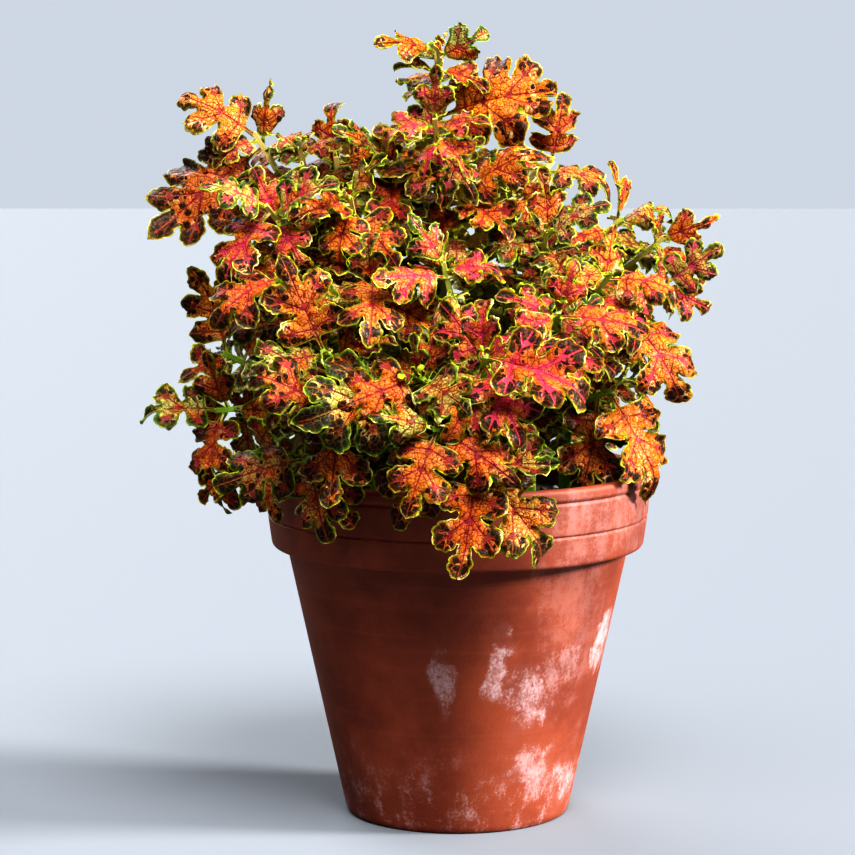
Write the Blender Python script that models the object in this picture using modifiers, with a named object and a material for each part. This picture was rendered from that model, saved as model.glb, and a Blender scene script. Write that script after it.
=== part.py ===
# A coleus in a clay pot. Nine leafy stems stand in plain holes in the potting soil.
# Metres, +Z up. The origin is the centre of the pot's foot, and the front of the plant looks along -Y.
import math
import random

import bmesh
import bpy
import numpy as np
from mathutils import Vector
from mathutils.bvhtree import BVHTree
from mathutils.geometry import delaunay_2d_cdt

MM = 0.001

# Pot
POT_HEIGHT = 180 * MM
RIM_RADIUS = 100 * MM
FOOT_RADIUS = 58 * MM
BAND_HEIGHT = 40 * MM
BAND_BOTTOM_RADIUS = 96.5 * MM
NECK_RADIUS = 88.5 * MM
LIP_HEIGHT = 7 * MM
LIP_GROOVE = 1.2 * MM
BAND_GROOVE_Z = 156 * MM
WALL = 7.5 * MM
FLOOR = 11 * MM
DRAIN_RADIUS = 5.5 * MM
DRAIN_CIRCLE = 27 * MM
DRAIN_HOLES = 3
POT_SIDES = 36
SOIL_SIDES = 28

# Soil
SOIL_LEVEL = 162 * MM
SOIL_GAP = 0.35 * MM
SOIL_BUMP = 1.6 * MM
HOLE_DEPTH = 16 * MM
HOLE_GAP = 0.4 * MM

# Stems and leaves
MAIN_RADIUS = 4.0 * MM
SIDE_RADIUS = 2.2 * MM
TIP_RADIUS = 1.6 * MM
STEM_SIDES = 4  # a coleus stem is square
BLADE_THICKNESS = 0.7 * MM
STALK_THICKNESS = 1.2 * MM
STALK_HALF_WIDTH = 0.9 * MM
STALK_SHARE = 0.15  # of a leaf's whole length
LEAF_SCALE = 1.2
POT_CLEAR = 1.5 * MM  # leaves stay this far from the pot
SOIL_CLEAR = 2.5 * MM
LARGE_FROM = 61 * MM  # a leaf longer than this has the large form
MEDIUM_FROM = 34 * MM
FACING_CENTRE = Vector((0, 15, 225)) * MM  # shoots lean away from this point

# One lobe is (where its vein leaves the midrib, angle from the midrib, reach, half width), in blade lengths.
# End is the half width of the blade's end, and sinus how deep each cut beyond a lobe goes.
LEAF_FORMS = {
    "large": {
        "lobes": ((0.08, 82, 0.40, 0.150), (0.24, 57, 0.54, 0.158), (0.46, 37, 0.46, 0.120)),
        "ribs": (0.10, 0.25, 0.47, 0.72),
        "sinus": (0.11, 0.10, 0.02),
        "end": 0.105,
    },
    "medium": {
        "lobes": ((0.10, 76, 0.42, 0.160), (0.34, 46, 0.50, 0.165)),
        "ribs": (0.13, 0.55),
        "sinus": (0.11, 0.03),
        "end": 0.135,
    },
    "young": {
        "lobes": ((0.22, 52, 0.50, 0.180),),
        "ribs": (0.15, 0.55),
        "sinus": (0.05,),
        "end": 0.15,
    },
}
LOBE_TURNS = (48, 132)  # where a lobe's two end points lie, in degrees round its centre
TIP_TURNS = (30, 150)
SPREAD = 1.08  # the few points of a round lobe stand out by this, to keep its area
UNEVEN = 0.045  # how much the lobes of one leaf differ from each other


def leaf(clock, lean, length, below=None, roll=0, droop=38, form=None):
    """A leaf seen from the front: clock is its way round from +X, in degrees, and lean is towards -Y."""
    return {"clock": clock, "lean": lean, "length": length, "below": below, "roll": roll,
            "droop": droop, "form": form}


def shoot(tip, leaves=None, fork=0.5, pairs=0, length=44, turn=20):
    """A side shoot. It has the leaves listed, or crossed pairs by rule. Sizes are in millimetres."""
    return {"tip": tip, "leaves": leaves or [], "fork": fork, "pairs": pairs, "length": length, "turn": turn}


# Each stem is its foot in the soil and its shoots. The first shoot is the end of the main stem.
STEMS = {
    "leafy_stem_top": ((-8, 10), (
        shoot((-11, -2, 394), [leaf(172, 12, 27), leaf(28, 5, 27, roll=60), leaf(100, 30, 19),
                               leaf(-22, 18, 24),
                               leaf(14, 4, 54, below=34, roll=45, droop=60), leaf(215, -30, 34, below=30)]),
        shoot((-12, -34, 360), [leaf(88, 15, 24), leaf(192, 22, 26), leaf(8, 20, 24), leaf(-52, 35, 28),
                                leaf(250, 40, 22)], 0.72),
        shoot((50, 38, 336), [leaf(80, 10, 32), leaf(185, 10, 36), leaf(-12, 10, 34),
                              leaf(250, 30, 30)], 0.6),
        shoot((2, -22, 326), [leaf(160, 15, 36), leaf(28, 10, 40), leaf(-35, 40, 34),
                              leaf(250, 45, 30)], 0.5),
        shoot((-34, -26, 338), [leaf(150, 15, 30), leaf(30, 12, 30), leaf(262, 30, 32),
                                leaf(88, 5, 24)], 0.55),
    )),
    "leafy_stem_upper_left": ((-42, 2), (
        shoot((-104, -4, 352), [leaf(152, 5, 40, roll=-30, droop=72), leaf(188, 18, 32, droop=60),
                                leaf(84, 0, 28, roll=30),
                                leaf(15, 30, 26), leaf(218, 14, 60, below=9, roll=-42, droop=30)]),
        shoot((-80, -24, 345), [leaf(150, 20, 18), leaf(20, 20, 22), leaf(268, 35, 24),
                                leaf(92, 25, 26)], 0.75),
        shoot((-62, -14, 340), [leaf(96, 0, 26, droop=20), leaf(34, 10, 46, roll=40, droop=22),
                                leaf(-40, 40, 30)], 0.62),
        shoot((-95, -64, 318), [leaf(160, 20, 30), leaf(238, 22, 40), leaf(28, 15, 32), leaf(-58, 25, 27),
                                leaf(115, 0, 26)], 0.5),
        shoot((-54, -52, 322), [leaf(52, 15, 24), leaf(178, 15, 30), leaf(255, 35, 30),
                                leaf(-28, 20, 34)], 0.45),
    )),
    "leafy_stem_left": ((-58, -14), (
        shoot((-120, -12, 240), [leaf(112, 0, 40, droop=-60), leaf(176, 10, 26), leaf(215, 10, 28, droop=80),
                                 leaf(60, 10, 30)]),
        shoot((-122, -42, 214), [leaf(182, 8, 34), leaf(262, 20, 36), leaf(120, 10, 28),
                                 leaf(-5, 20, 26)], 0.6),
        shoot((-108, -54, 192), [leaf(216, 5, 32), leaf(252, 12, 30), leaf(292, 20, 32)], 0.45),
        shoot((-86, -74, 284), [leaf(214, 25, 40, droop=60), leaf(-50, 25, 36), leaf(70, 5, 30),
                                leaf(150, 0, 34)], 0.55),
    )),
    "leafy_stem_front_left": ((-34, -44), (
        shoot((-66, -102, 250), [leaf(114, 5, 42, droop=15), leaf(170, 12, 38), leaf(15, 15, 30),
                                 leaf(262, 35, 32)]),
        shoot((-62, -112, 222), [leaf(152, 15, 40), leaf(188, 20, 50, below=14), leaf(-20, 25, 30),
                                 leaf(236, 30, 44, below=18)], 0.62),
        shoot((-76, -94, 196), [leaf(196, 10, 40), leaf(262, 10, 36), leaf(300, 20, 34),
                                leaf(228, 5, 40, below=12)],
              0.4),
        shoot((-42, -84, 284), [leaf(236, 25, 38), leaf(200, 20, 36, below=10), leaf(85, 10, 26),
                                leaf(-60, 30, 34)], 0.6),
    )),
    "leafy_stem_front": ((4, -58), (
        shoot((12, -126, 250), [leaf(-18, 14, 48), leaf(62, 8, 26), leaf(14, 10, 34, below=8),
                                leaf(118, 10, 30),
                                leaf(232, 30, 38), leaf(-62, 30, 40, below=12)]),
        shoot((-22, -118, 240), [leaf(186, 18, 58, below=12), leaf(168, 12, 40), leaf(-52, 30, 36),
                                 leaf(80, 5, 26)], 0.6),
        shoot((-12, -134, 216), [leaf(166, 12, 28), leaf(250, 18, 38), leaf(-56, 22, 40),
                                 leaf(192, 12, 40, below=10),
                                 leaf(228, 10, 46, below=16), leaf(16, 10, 54, below=14)], 0.45),
        shoot((8, -126, 196), [leaf(262, 10, 44, droop=20), leaf(-12, 15, 34), leaf(204, 15, 26),
                               leaf(-50, 5, 50, below=12, droop=20)], 0.32),
        shoot((-8, -92, 292), [leaf(124, 12, 26), leaf(2, 10, 24), leaf(172, 14, 32),
                               leaf(48, 10, 32, below=8),
                               leaf(268, 40, 28)], 0.7),
    )),
    "leafy_stem_right": ((54, -26), (
        shoot((76, -48, 284), [leaf(190, 20, 28), leaf(-8, 15, 34), leaf(95, 10, 24), leaf(-55, 35, 34)]),
        shoot((48, -90, 268), [leaf(214, 15, 26), leaf(74, 10, 24), leaf(-8, 12, 38), leaf(158, 10, 28),
                               leaf(-70, 30, 34)], 0.62),
        shoot((86, -44, 262), [leaf(-58, 15, 44), leaf(6, 10, 34), leaf(222, 20, 32),
                               leaf(-24, 5, 32, below=9),
                               leaf(80, 10, 26)], 0.62),
        shoot((76, -44, 224), [leaf(-64, 8, 50), leaf(-8, 10, 34), leaf(-102, 12, 46, below=8),
                               leaf(40, 10, 30)],
              0.42),
    )),
    "leafy_stem_upper_right": ((38, 22), (
        shoot((84, 14, 308), [leaf(100, 10, 26), leaf(20, 10, 28), leaf(200, 20, 30), leaf(-40, 20, 30)]),
        shoot((106, 8, 298), [leaf(40, 5, 26, roll=25), leaf(100, 0, 26, roll=20), leaf(-30, 20, 30),
                              leaf(170, 30, 26)], 0.66),
        shoot((106, -12, 276), [leaf(34, 8, 30, roll=30), leaf(-14, 6, 27, roll=25),
                                leaf(205, 25, 30), leaf(-70, 20, 34)],
              0.5),
        shoot((44, -30, 304), [leaf(95, 10, 28), leaf(30, 12, 32), leaf(190, 15, 30),
                               leaf(-50, 35, 34)], 0.6),
    )),
    "leafy_stem_back_left": ((-28, 46), (
        shoot((-54, 62, 338), pairs=2, length=42, turn=30),
        shoot((-104, 58, 272), pairs=2, length=48, turn=70, fork=0.55),
        shoot((-66, 112, 248), pairs=2, length=48, turn=10, fork=0.5),
        shoot((-92, 84, 206), pairs=2, length=46, turn=40, fork=0.4),
        shoot((-10, 60, 336), pairs=1, length=44, turn=15, fork=0.7),
    )),
    "leafy_stem_back_right": ((26, 52), (
        shoot((34, 84, 318), pairs=2, length=44, turn=60),
        shoot((92, 66, 272), pairs=2, length=48, turn=20, fork=0.55),
        shoot((44, 124, 250), pairs=2, length=48, turn=75, fork=0.5),
        shoot((98, 42, 220), pairs=1, length=46, turn=40, fork=0.42),
        shoot((4, 122, 214), pairs=2, length=48, turn=15, fork=0.4),
    )),
}


def lobe_centre(vein_y, angle, reach, half_width):
    """The middle of a lobe's round end."""
    return np.array((math.sin(angle), math.cos(angle))) * (reach - half_width) + (0.0, vein_y)


def lobe_end(vein_y, angle, reach, half_width, turns, spread=1.0):
    """Points round the end of one lobe, at these turns in degrees from its lower side to its upper side."""
    along = np.array((math.sin(angle), math.cos(angle)))
    side = np.array((math.cos(angle), -math.sin(angle)))
    centre = lobe_centre(vein_y, angle, reach, half_width)
    reach = half_width * spread
    return [centre + reach * (side * math.cos(t) + along * math.sin(t)) for t in np.radians(turns)]


def sinus_point(lobe, next_lobe, depth):
    """The bottom of the cut between two lobes: midway between them, then in towards the midrib."""
    first, second = lobe_centre(*lobe), lobe_centre(*next_lobe)
    way = second - first
    span = math.hypot(*way)
    way = way / span
    middle = first + way * (lobe[3] + (span - lobe[3] - next_lobe[3]) / 2)
    return middle + np.array((-way[1], way[0])) * depth


def lobes_of(form, wobble):
    """The lobes of the blade's right half, a little uneven, and then the blade's end."""
    lobes = [(y, math.radians(angle * wobble[i]), reach * wobble[i + 3], half_width)
             for i, (y, angle, reach, half_width) in enumerate(form["lobes"])]
    return lobes, lobes[1:] + [(1 - form["end"], 0.0, form["end"], form["end"])]


def blade_side(form, wobble):
    """The margin of the blade's right half, from the stalk to the last sinus, in blade lengths."""
    points = []
    for lobe, next_lobe, depth in zip(*lobes_of(form, wobble), form["sinus"]):
        points += lobe_end(*lobe, LOBE_TURNS, SPREAD) + [sinus_point(lobe, next_lobe, depth)]
    return points


def wobbles(rng):
    """How far each lobe of one half of a leaf departs from its form."""
    return [rng.uniform(1 - UNEVEN, 1 + UNEVEN) for _ in range(6)]


def flat_leaf(form_name, whole, rng):
    """A leaf laid flat: its points, its triangles, and the lengths of its stalk and its blade."""
    form = LEAF_FORMS[form_name]
    stalk = whole * STALK_SHARE
    blade = whole - stalk
    left_wobble, right_wobble = wobbles(rng), wobbles(rng)
    right = [p * blade for p in blade_side(form, right_wobble)]
    left = [p * blade * (-1, 1) for p in blade_side(form, left_wobble)]
    end = [p * blade for p in lobe_end(1 - form["end"], 0, form["end"], form["end"], TIP_TURNS, 1.15)]
    margin = [np.array((STALK_HALF_WIDTH, -stalk))] + right + end + left[::-1] + [
        np.array((-STALK_HALF_WIDTH, -stalk))]
    inner = [np.array((0.0, y * blade)) for y in form["ribs"]]
    count = len(margin)
    loop = [(i, (i + 1) % count) for i in range(count)]
    midrib = [(count + i, count + i + 1) for i in range(len(inner) - 1)]
    points = [Vector(p) for p in margin + inner]
    flat, _, triangles, *_ = delaunay_2d_cdt(points, loop + midrib, [], 1, 1e-7)
    return np.array([tuple(p) for p in flat]), [tuple(t) for t in triangles], stalk, blade


def cross(a, b):
    """The cross product of rows of vectors."""
    return np.stack((a[:, 1] * b[:, 2] - a[:, 2] * b[:, 1], a[:, 2] * b[:, 0] - a[:, 0] * b[:, 2],
                     a[:, 0] * b[:, 1] - a[:, 1] * b[:, 0]), axis=1)


def bend(flat, stalk, blade, pose):
    """Moves flat points to where the bent leaf holds them: arched midrib, folded sides, waved lobes."""
    root, along, up, droop, fold, curl, wave, phase, twist = pose
    side = np.cross(along, up)
    share = np.linspace(0, 1, 33)
    turn = math.radians(droop) * share ** 1.4
    step = (stalk + blade) / 32
    ahead = np.concatenate(([0], np.cumsum((np.cos(turn[1:]) + np.cos(turn[:-1])) / 2))) * step
    drop = np.concatenate(([0], np.cumsum((np.sin(turn[1:]) + np.sin(turn[:-1])) / 2))) * step
    x, y = flat[:, 0], flat[:, 1]
    s = np.clip((y + stalk) / (stalk + blade), 0, 1)
    angle = np.interp(s, share, turn)
    normal = np.outer(np.sin(angle), along) + np.outer(np.cos(angle), up)
    midrib = root + np.outer(np.interp(s, share, ahead), along) - np.outer(np.interp(s, share, drop), up)
    spin = twist * s
    across = np.outer(np.cos(spin), side) + normal * np.sin(spin)[:, None]
    upward = normal * np.cos(spin)[:, None] - np.outer(np.sin(spin), side)
    out = np.abs(x)
    rise = fold + curl * out / (0.45 * blade)
    radius = np.hypot(x, y - 0.25 * blade) / blade
    ripple = wave * blade * np.clip(radius, 0, 0.8) ** 1.5 * np.sin(
        6.0 * np.arctan2(x, np.maximum(y - 0.2 * blade, -0.1 * blade) + 0.15 * blade) + phase)
    ripple = ripple * np.clip(y / (0.1 * blade), 0, 1)
    lift = out * np.sin(rise) + ripple
    reach = np.sign(x) * out * np.cos(rise)
    return midrib + across * reach[:, None] + upward * lift[:, None]


def thick_leaf(flat, triangles, stalk, blade, pose, room=0):
    """The leaf's solid: the same triangles on both faces, and a wall along the margin. Room thickens it."""
    small = 0.02 * blade
    steps = ((0, 0), (small, 0), (-small, 0), (0, small), (0, -small))
    around = np.concatenate([flat + step for step in steps])
    mid, east, west, north, south = bend(around, stalk, blade, pose).reshape(5, -1, 3)
    normal = cross(east - west, north - south)
    normal /= np.linalg.norm(normal, axis=1)[:, None]
    on_stalk = np.clip(1 - (flat[:, 1] + stalk) / (stalk + 0.2 * blade), 0, 1)
    half = (BLADE_THICKNESS + (STALK_THICKNESS - BLADE_THICKNESS) * on_stalk) / 2 + room
    above, below = mid + normal * half[:, None], mid - normal * half[:, None]
    count = len(flat)
    faces = [t for t in triangles] + [tuple(i + count for i in reversed(t)) for t in triangles]
    edges = {}
    for a, b, c in triangles:
        for edge in ((a, b), (b, c), (c, a)):
            edges[edge] = edge[::-1] not in edges and edges.get(edge, True)
            if edge[::-1] in edges:
                edges[edge] = edges[edge[::-1]] = False
    for (a, b), open_edge in edges.items():
        if open_edge:
            faces += [(b, a, a + count), (b, a + count, b + count)]
    return np.concatenate((above, below)), faces


def shoot_path(start, start_way, tip, tip_way, rings):
    """Points along a shoot, on one smooth curve."""
    span = (tip - start).length
    a, b = start_way.normalized() * span * 0.9, tip_way.normalized() * span * 0.9
    points = []
    for i in range(rings):
        t = i / (rings - 1)
        points.append(start * (2 * t**3 - 3 * t**2 + 1) + a * (t**3 - 2 * t**2 + t)
                      + tip * (3 * t**2 - 2 * t**3) + b * (t**3 - t**2))
    return points


def along_path(path, share):
    """The point and the way of a path at a share of its points' count."""
    at = min(max(share, 0.0), 0.999) * (len(path) - 1)
    i = int(at)
    return path[i].lerp(path[i + 1], at - i), (path[i + 1] - path[i]).normalized()


def below_tip(path, distance):
    """The point and the way of a path at a distance back from its tip."""
    for i in range(len(path) - 1, 0, -1):
        span = (path[i] - path[i - 1]).length
        if distance <= span or i == 1:
            return path[i].lerp(path[i - 1], min(distance / span, 1.0)), (path[i] - path[i - 1]).normalized()
        distance -= span


def tube(path, radii, sides):
    """A closed tube along a path: rings of vertices and flat ends."""
    points, faces = [], []
    way = (path[1] - path[0]).normalized()
    across = way.orthogonal().normalized()
    for i, (centre, radius) in enumerate(zip(path, radii)):
        way = (path[min(i + 1, len(path) - 1)] - path[max(i - 1, 0)]).normalized()
        across = (across - way * across.dot(way)).normalized()
        other = way.cross(across)
        for k in range(sides):
            t = 2 * math.pi * k / sides
            points.append(centre + (across * math.cos(t) + other * math.sin(t)) * radius)
    for i in range(len(path) - 1):
        for k in range(sides):
            a, b = i * sides + k, i * sides + (k + 1) % sides
            faces += [(a, b, b + sides), (a, b + sides, a + sides)]
    last = (len(path) - 1) * sides
    for k in range(1, sides - 1):
        faces += [(0, k + 1, k), (last, last + k, last + k + 1)]
    return np.array([tuple(p) for p in points]), faces


def pot_guard():
    """The pot's and the soil's outer faces, which leaves stay clear of."""
    outside, inside = RIM_RADIUS + POT_CLEAR, RIM_RADIUS - WALL - POT_CLEAR
    band_bottom, shoulder, soil_top = POT_HEIGHT - BAND_HEIGHT, POT_HEIGHT - 4 * MM, SOIL_LEVEL + SOIL_CLEAR
    profile = ((FOOT_RADIUS, 0), (NECK_RADIUS, band_bottom), (BAND_BOTTOM_RADIUS + POT_CLEAR, band_bottom),
               (outside, shoulder), (RIM_RADIUS - WALL / 2, POT_HEIGHT + POT_CLEAR), (inside, shoulder),
               (inside - POT_CLEAR, soil_top), (0.5 * MM, soil_top))
    sides = 48
    points = [(r * math.cos(2 * math.pi * k / sides), r * math.sin(2 * math.pi * k / sides), z)
              for r, z in profile for k in range(sides)]
    faces = []
    for i in range(len(profile) - 1):
        low, high = i * sides, (i + 1) * sides
        faces += [(low + k, low + (k + 1) % sides, high + (k + 1) % sides, high + k) for k in range(sides)]
    return np.array(points), faces


class Guard:
    """Everything placed so far, for finding whether a new leaf crosses any of it."""

    def __init__(self):
        self.things = []
        self.lows, self.highs = np.empty((0, 3)), np.empty((0, 3))

    def add(self, points, faces, name):
        tree = BVHTree.FromPolygons([tuple(p) for p in points], faces)
        self.things.append((tree, name))
        self.lows = np.vstack((self.lows, points.min(0)))
        self.highs = np.vstack((self.highs, points.max(0)))

    def crossed(self, points, faces, skip):
        """How many of these faces cross each thing, by the thing's name."""
        tree = BVHTree.FromPolygons([tuple(p) for p in points], faces)
        near = (self.highs >= points.min(0)).all(1) & (self.lows <= points.max(0)).all(1)
        found = {}
        for i in np.flatnonzero(near):
            other, name = self.things[i]
            pairs = 0 if name in skip else len(tree.overlap(other))
            if pairs:
                found[name] = found.get(name, 0) + pairs
        return found


# Leaves set by rule stand in crossed pairs, the first pair nearest the tip.
PAIR_START, PAIR_STEP = 3.5 * MM, 8.0 * MM
PAIR_PITCH = (52, 78)  # degrees from the stem
PAIR_SHARE = (0.7, 1.0)  # of the shoot's leaf length
PAIR_DROOP = 34  # degrees


def on_stem(point, way, out):
    """Where a stalk starts: inside the stem, a little to its own side of the middle."""
    return point + (out - way * out.dot(way)).normalized() * 0.4 * TIP_RADIUS


def listed_leaf(spec, path, facing, rank):
    """Where a leaf given by its clock and lean starts, and which way it and its upper face point."""
    clock, lean = math.radians(spec["clock"]), math.radians(spec["lean"])
    chord = Vector((math.cos(clock) * math.cos(lean), -math.sin(lean), math.sin(clock) * math.cos(lean)))
    below = spec["below"] * MM if spec["below"] is not None else (1.5 + 3.2 * rank) * MM
    point, way = below_tip(path, below)
    point = on_stem(point, way, chord)
    hint = (facing * 0.7 + Vector((0, -0.55, 0.45))).normalized()
    up = (hint - chord * hint.dot(chord)).normalized()
    roll = math.radians(spec["roll"])
    up = (up * math.cos(roll) + chord.cross(up) * math.sin(roll)).normalized()
    return point, chord, up, spec["length"] * LEAF_SCALE * MM, spec["droop"]


def ruled_leaf(pair, left, info, path):
    """Where a leaf of a crossed pair starts, and which way it and its upper face point."""
    point, way = below_tip(path, PAIR_START + PAIR_STEP * pair)
    base = way.orthogonal().normalized()
    azimuth = math.radians(info["turn"] + 90 * pair + (180 if left else 0))
    out = base * math.cos(azimuth) + way.cross(base) * math.sin(azimuth)
    point = on_stem(point, way, out)
    pitch = math.radians(PAIR_PITCH[pair])
    along = way * math.cos(pitch) + out * math.sin(pitch)
    up = way * math.sin(pitch) - out * math.cos(pitch)
    return point, along, up, info["length"] * PAIR_SHARE[pair] * MM, PAIR_DROOP


def turned(vector, axis, degrees):
    """A vector swung round an axis."""
    angle = math.radians(degrees)
    return (vector * math.cos(angle) + axis.cross(vector) * math.sin(angle)
            + axis * axis.dot(vector) * (1 - math.cos(angle)))


# A leaf that would cross another one is swung, lifted or shortened by these, in this order, until clear.
TRIES = [(swing, lift, size) for size in (1.0, 0.88, 0.76) for lift in (0, 10, -10, 20, -20, 30)
         for swing in (0, 11, -11, 22, -22, 33)]
ROOM = 0.25 * MM
MOST_CROSSED = 8  # pairs of faces
FOLD, CURL, TWIST = (-6, 26), (-42, 12), 26  # degrees
WAVE = (0.07, 0.15)  # in blade lengths


def form_for(length):
    """The form of a leaf set by rule."""
    return "large" if length > LARGE_FROM else "medium" if length > MEDIUM_FROM else "young"


def place_leaf(spot, form, rng, guard, own, same_stem):
    """A leaf's solid where it is clear of everything or barely crosses its own stem's leaves, or None."""
    point, along, up, whole, droop = spot
    fold, curl = math.radians(rng.uniform(*FOLD)), math.radians(rng.uniform(*CURL))
    wave, phase = rng.uniform(*WAVE), rng.uniform(0, 2 * math.pi)
    twist = math.radians(rng.uniform(-TWIST, TWIST))
    droop = droop * rng.uniform(0.8, 1.2)
    shape_seed = rng.random()
    chord_lift = math.radians(droop * 0.4)
    start = along * math.cos(chord_lift) + up * math.sin(chord_lift)
    top = up * math.cos(chord_lift) - along * math.sin(chord_lift)
    best, fewest = None, MOST_CROSSED + 1
    for swing, lift, size in TRIES:
        side = start.cross(top)
        a = turned(turned(start, top, swing), side, lift)
        u = turned(turned(top, top, swing), side, lift)
        flat = flat_leaf(form, whole * size, random.Random(shape_seed))
        pose = (np.array(point), np.array(a), np.array(u), droop, fold, curl, wave, phase, twist)
        crossed = guard.crossed(*thick_leaf(*flat, pose, ROOM), own)
        pairs = crossed.pop(same_stem, 0)
        if not crossed and pairs < fewest:
            best, fewest = (flat, pose), pairs
            if not pairs:
                break
    return thick_leaf(*best[0], best[1]) if best else None


def grow():
    """Every stem's tubes and leaves, as {stem: [(points, faces, what)]}."""
    guard = Guard()
    guard.add(*pot_guard(), "pot")
    plants, paths = {}, {}
    for stem, ((foot_x, foot_y), shoots) in STEMS.items():
        foot = Vector((foot_x * MM, foot_y * MM, SOIL_LEVEL - HOLE_DEPTH + HOLE_GAP))
        surface = foot + Vector((0, 0, HOLE_DEPTH + 6 * MM))
        plants[stem] = []
        for n, info in enumerate(shoots):
            tip = Vector(info["tip"]) * MM
            facing = ((tip - FACING_CENTRE) + Vector((0, 0, 35 * MM))).normalized()
            if n == 0:
                main = [foot] + shoot_path(surface, Vector((0, 0, 1)), tip, facing, 8)
                path = main
                radii = [MAIN_RADIUS, MAIN_RADIUS] + [
                    MAIN_RADIUS + (TIP_RADIUS - MAIN_RADIUS) * (i / 7) ** 1.2 for i in range(1, 8)]
            else:
                start, way = along_path(main, info["fork"])
                path = shoot_path(start, way + (tip - start).normalized(), tip, facing, 4)
                radii = [SIDE_RADIUS + (TIP_RADIUS - SIDE_RADIUS) * i / 3 for i in range(4)]
            paths[stem, n] = (path, facing)
            points, faces = tube(path, radii, STEM_SIDES)
            plants[stem].append((points, faces, "stem"))
            guard.add(points, faces, f"{stem}.{n}")
    lost = 0
    for stem, (_, shoots) in STEMS.items():
        for n, info in enumerate(shoots):
            path, facing = paths[stem, n]
            own = {f"{stem}.{n}"}
            rng = random.Random(f"{stem}.{n}")
            wanted = [(listed_leaf(spec, path, facing, rank), spec["form"])
                      for rank, spec in enumerate(info["leaves"])]
            wanted += [(ruled_leaf(pair, left, info, path), None) for pair in range(info["pairs"])
                       for left in (False, True)]
            for spot, form in wanted:
                form = form or form_for(spot[3])
                made = place_leaf(spot, form, rng, guard, own, stem + " leaf")
                if made is None:
                    lost += 1
                    continue
                guard.add(*made, stem + " leaf")
                plants[stem].append((*made, "leaf"))
    print("leaves", sum(what == "leaf" for p in plants.values() for _, _, what in p), "left out", lost)
    return plants


def material(name, colour, roughness):
    made = bpy.data.materials.new(name)
    made.use_nodes = True
    shader = made.node_tree.nodes["Principled BSDF"]
    shader.inputs["Base Color"].default_value = (*colour, 1)
    shader.inputs["Roughness"].default_value = roughness
    return made


def mesh_object(name, points, faces, collection, *materials):
    mesh = bpy.data.meshes.new(name)
    mesh.from_pydata([tuple(p) for p in points], [], faces)
    for each in materials:
        mesh.materials.append(each)
    made = bpy.data.objects.new(name, mesh)
    collection.objects.link(made)
    return made


def apply_modifiers(obj):
    graph = bpy.context.evaluated_depsgraph_get()
    made = bpy.data.meshes.new_from_object(obj.evaluated_get(graph))
    obj.modifiers.clear()
    obj.data = made


def union_with(obj, collection, solver):
    joined = obj.modifiers.new("Join", "BOOLEAN")
    joined.operation = "UNION"
    joined.operand_type = "COLLECTION"
    joined.collection = collection
    joined.solver = solver
    apply_modifiers(obj)


def leafy_stem(name, pieces, collection, green, orange):
    """One stem with its side shoots and leaves, joined in one solid."""
    parts = bpy.data.collections.new(name + " pieces")
    bpy.context.scene.collection.children.link(parts)
    points, faces, _ = pieces[0]
    stem = mesh_object(name, points, faces, collection, green, orange)
    for i, (points, faces, what) in enumerate(pieces[1:]):
        piece = mesh_object(f"{name} piece {i}", points, faces, parts, green, orange)
        for polygon in piece.data.polygons:
            polygon.material_index = int(what == "leaf")
    union_with(stem, parts, "MANIFOLD")
    for piece in list(parts.objects):
        bpy.data.objects.remove(piece)
    bpy.data.collections.remove(parts)
    return stem


def turned_solid(name, profile, collection, sides, fill):
    """A round solid from an outline of (radius, height), spun by a Screw modifier."""
    mesh = bpy.data.meshes.new(name)
    mesh.from_pydata([(r, 0, z) for r, z in profile], [(i, i + 1) for i in range(len(profile) - 1)], [])
    mesh.materials.append(fill)
    made = bpy.data.objects.new(name, mesh)
    collection.objects.link(made)
    spin = made.modifiers.new("Turn", "SCREW")
    spin.steps = spin.render_steps = sides
    spin.use_merge_vertices = True
    spin.merge_threshold = 1e-5
    spin.use_normal_calculate = True
    return made


def inner_radius(z):
    """The radius of the pot's inside at this height."""
    low, high = FOOT_RADIUS - WALL, RIM_RADIUS - WALL
    return low + (high - low) * (z / POT_HEIGHT)


def cutter(name, x, y, radius, low, high, collection, sides):
    made = bmesh.new()
    bmesh.ops.create_cone(made, cap_ends=True, segments=sides, radius1=radius, radius2=radius,
                          depth=high - low)
    mesh = bpy.data.meshes.new(name)
    made.to_mesh(mesh)
    made.free()
    obj = bpy.data.objects.new(name, mesh)
    obj.location = (x, y, (low + high) / 2)
    obj.hide_render = True
    obj.display_type = "WIRE"
    collection.objects.link(obj)
    return obj


def cut(obj, cutters):
    drill = obj.modifiers.new("Holes", "BOOLEAN")
    drill.operation = "DIFFERENCE"
    drill.operand_type = "COLLECTION"
    drill.collection = cutters


def shade_round(obj):
    """Applies the modifiers, then shades the round faces smooth and leaves the edges sharp."""
    apply_modifiers(obj)
    obj.data.shade_smooth()
    obj.data.set_sharp_from_angle(angle=math.radians(40))


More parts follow.
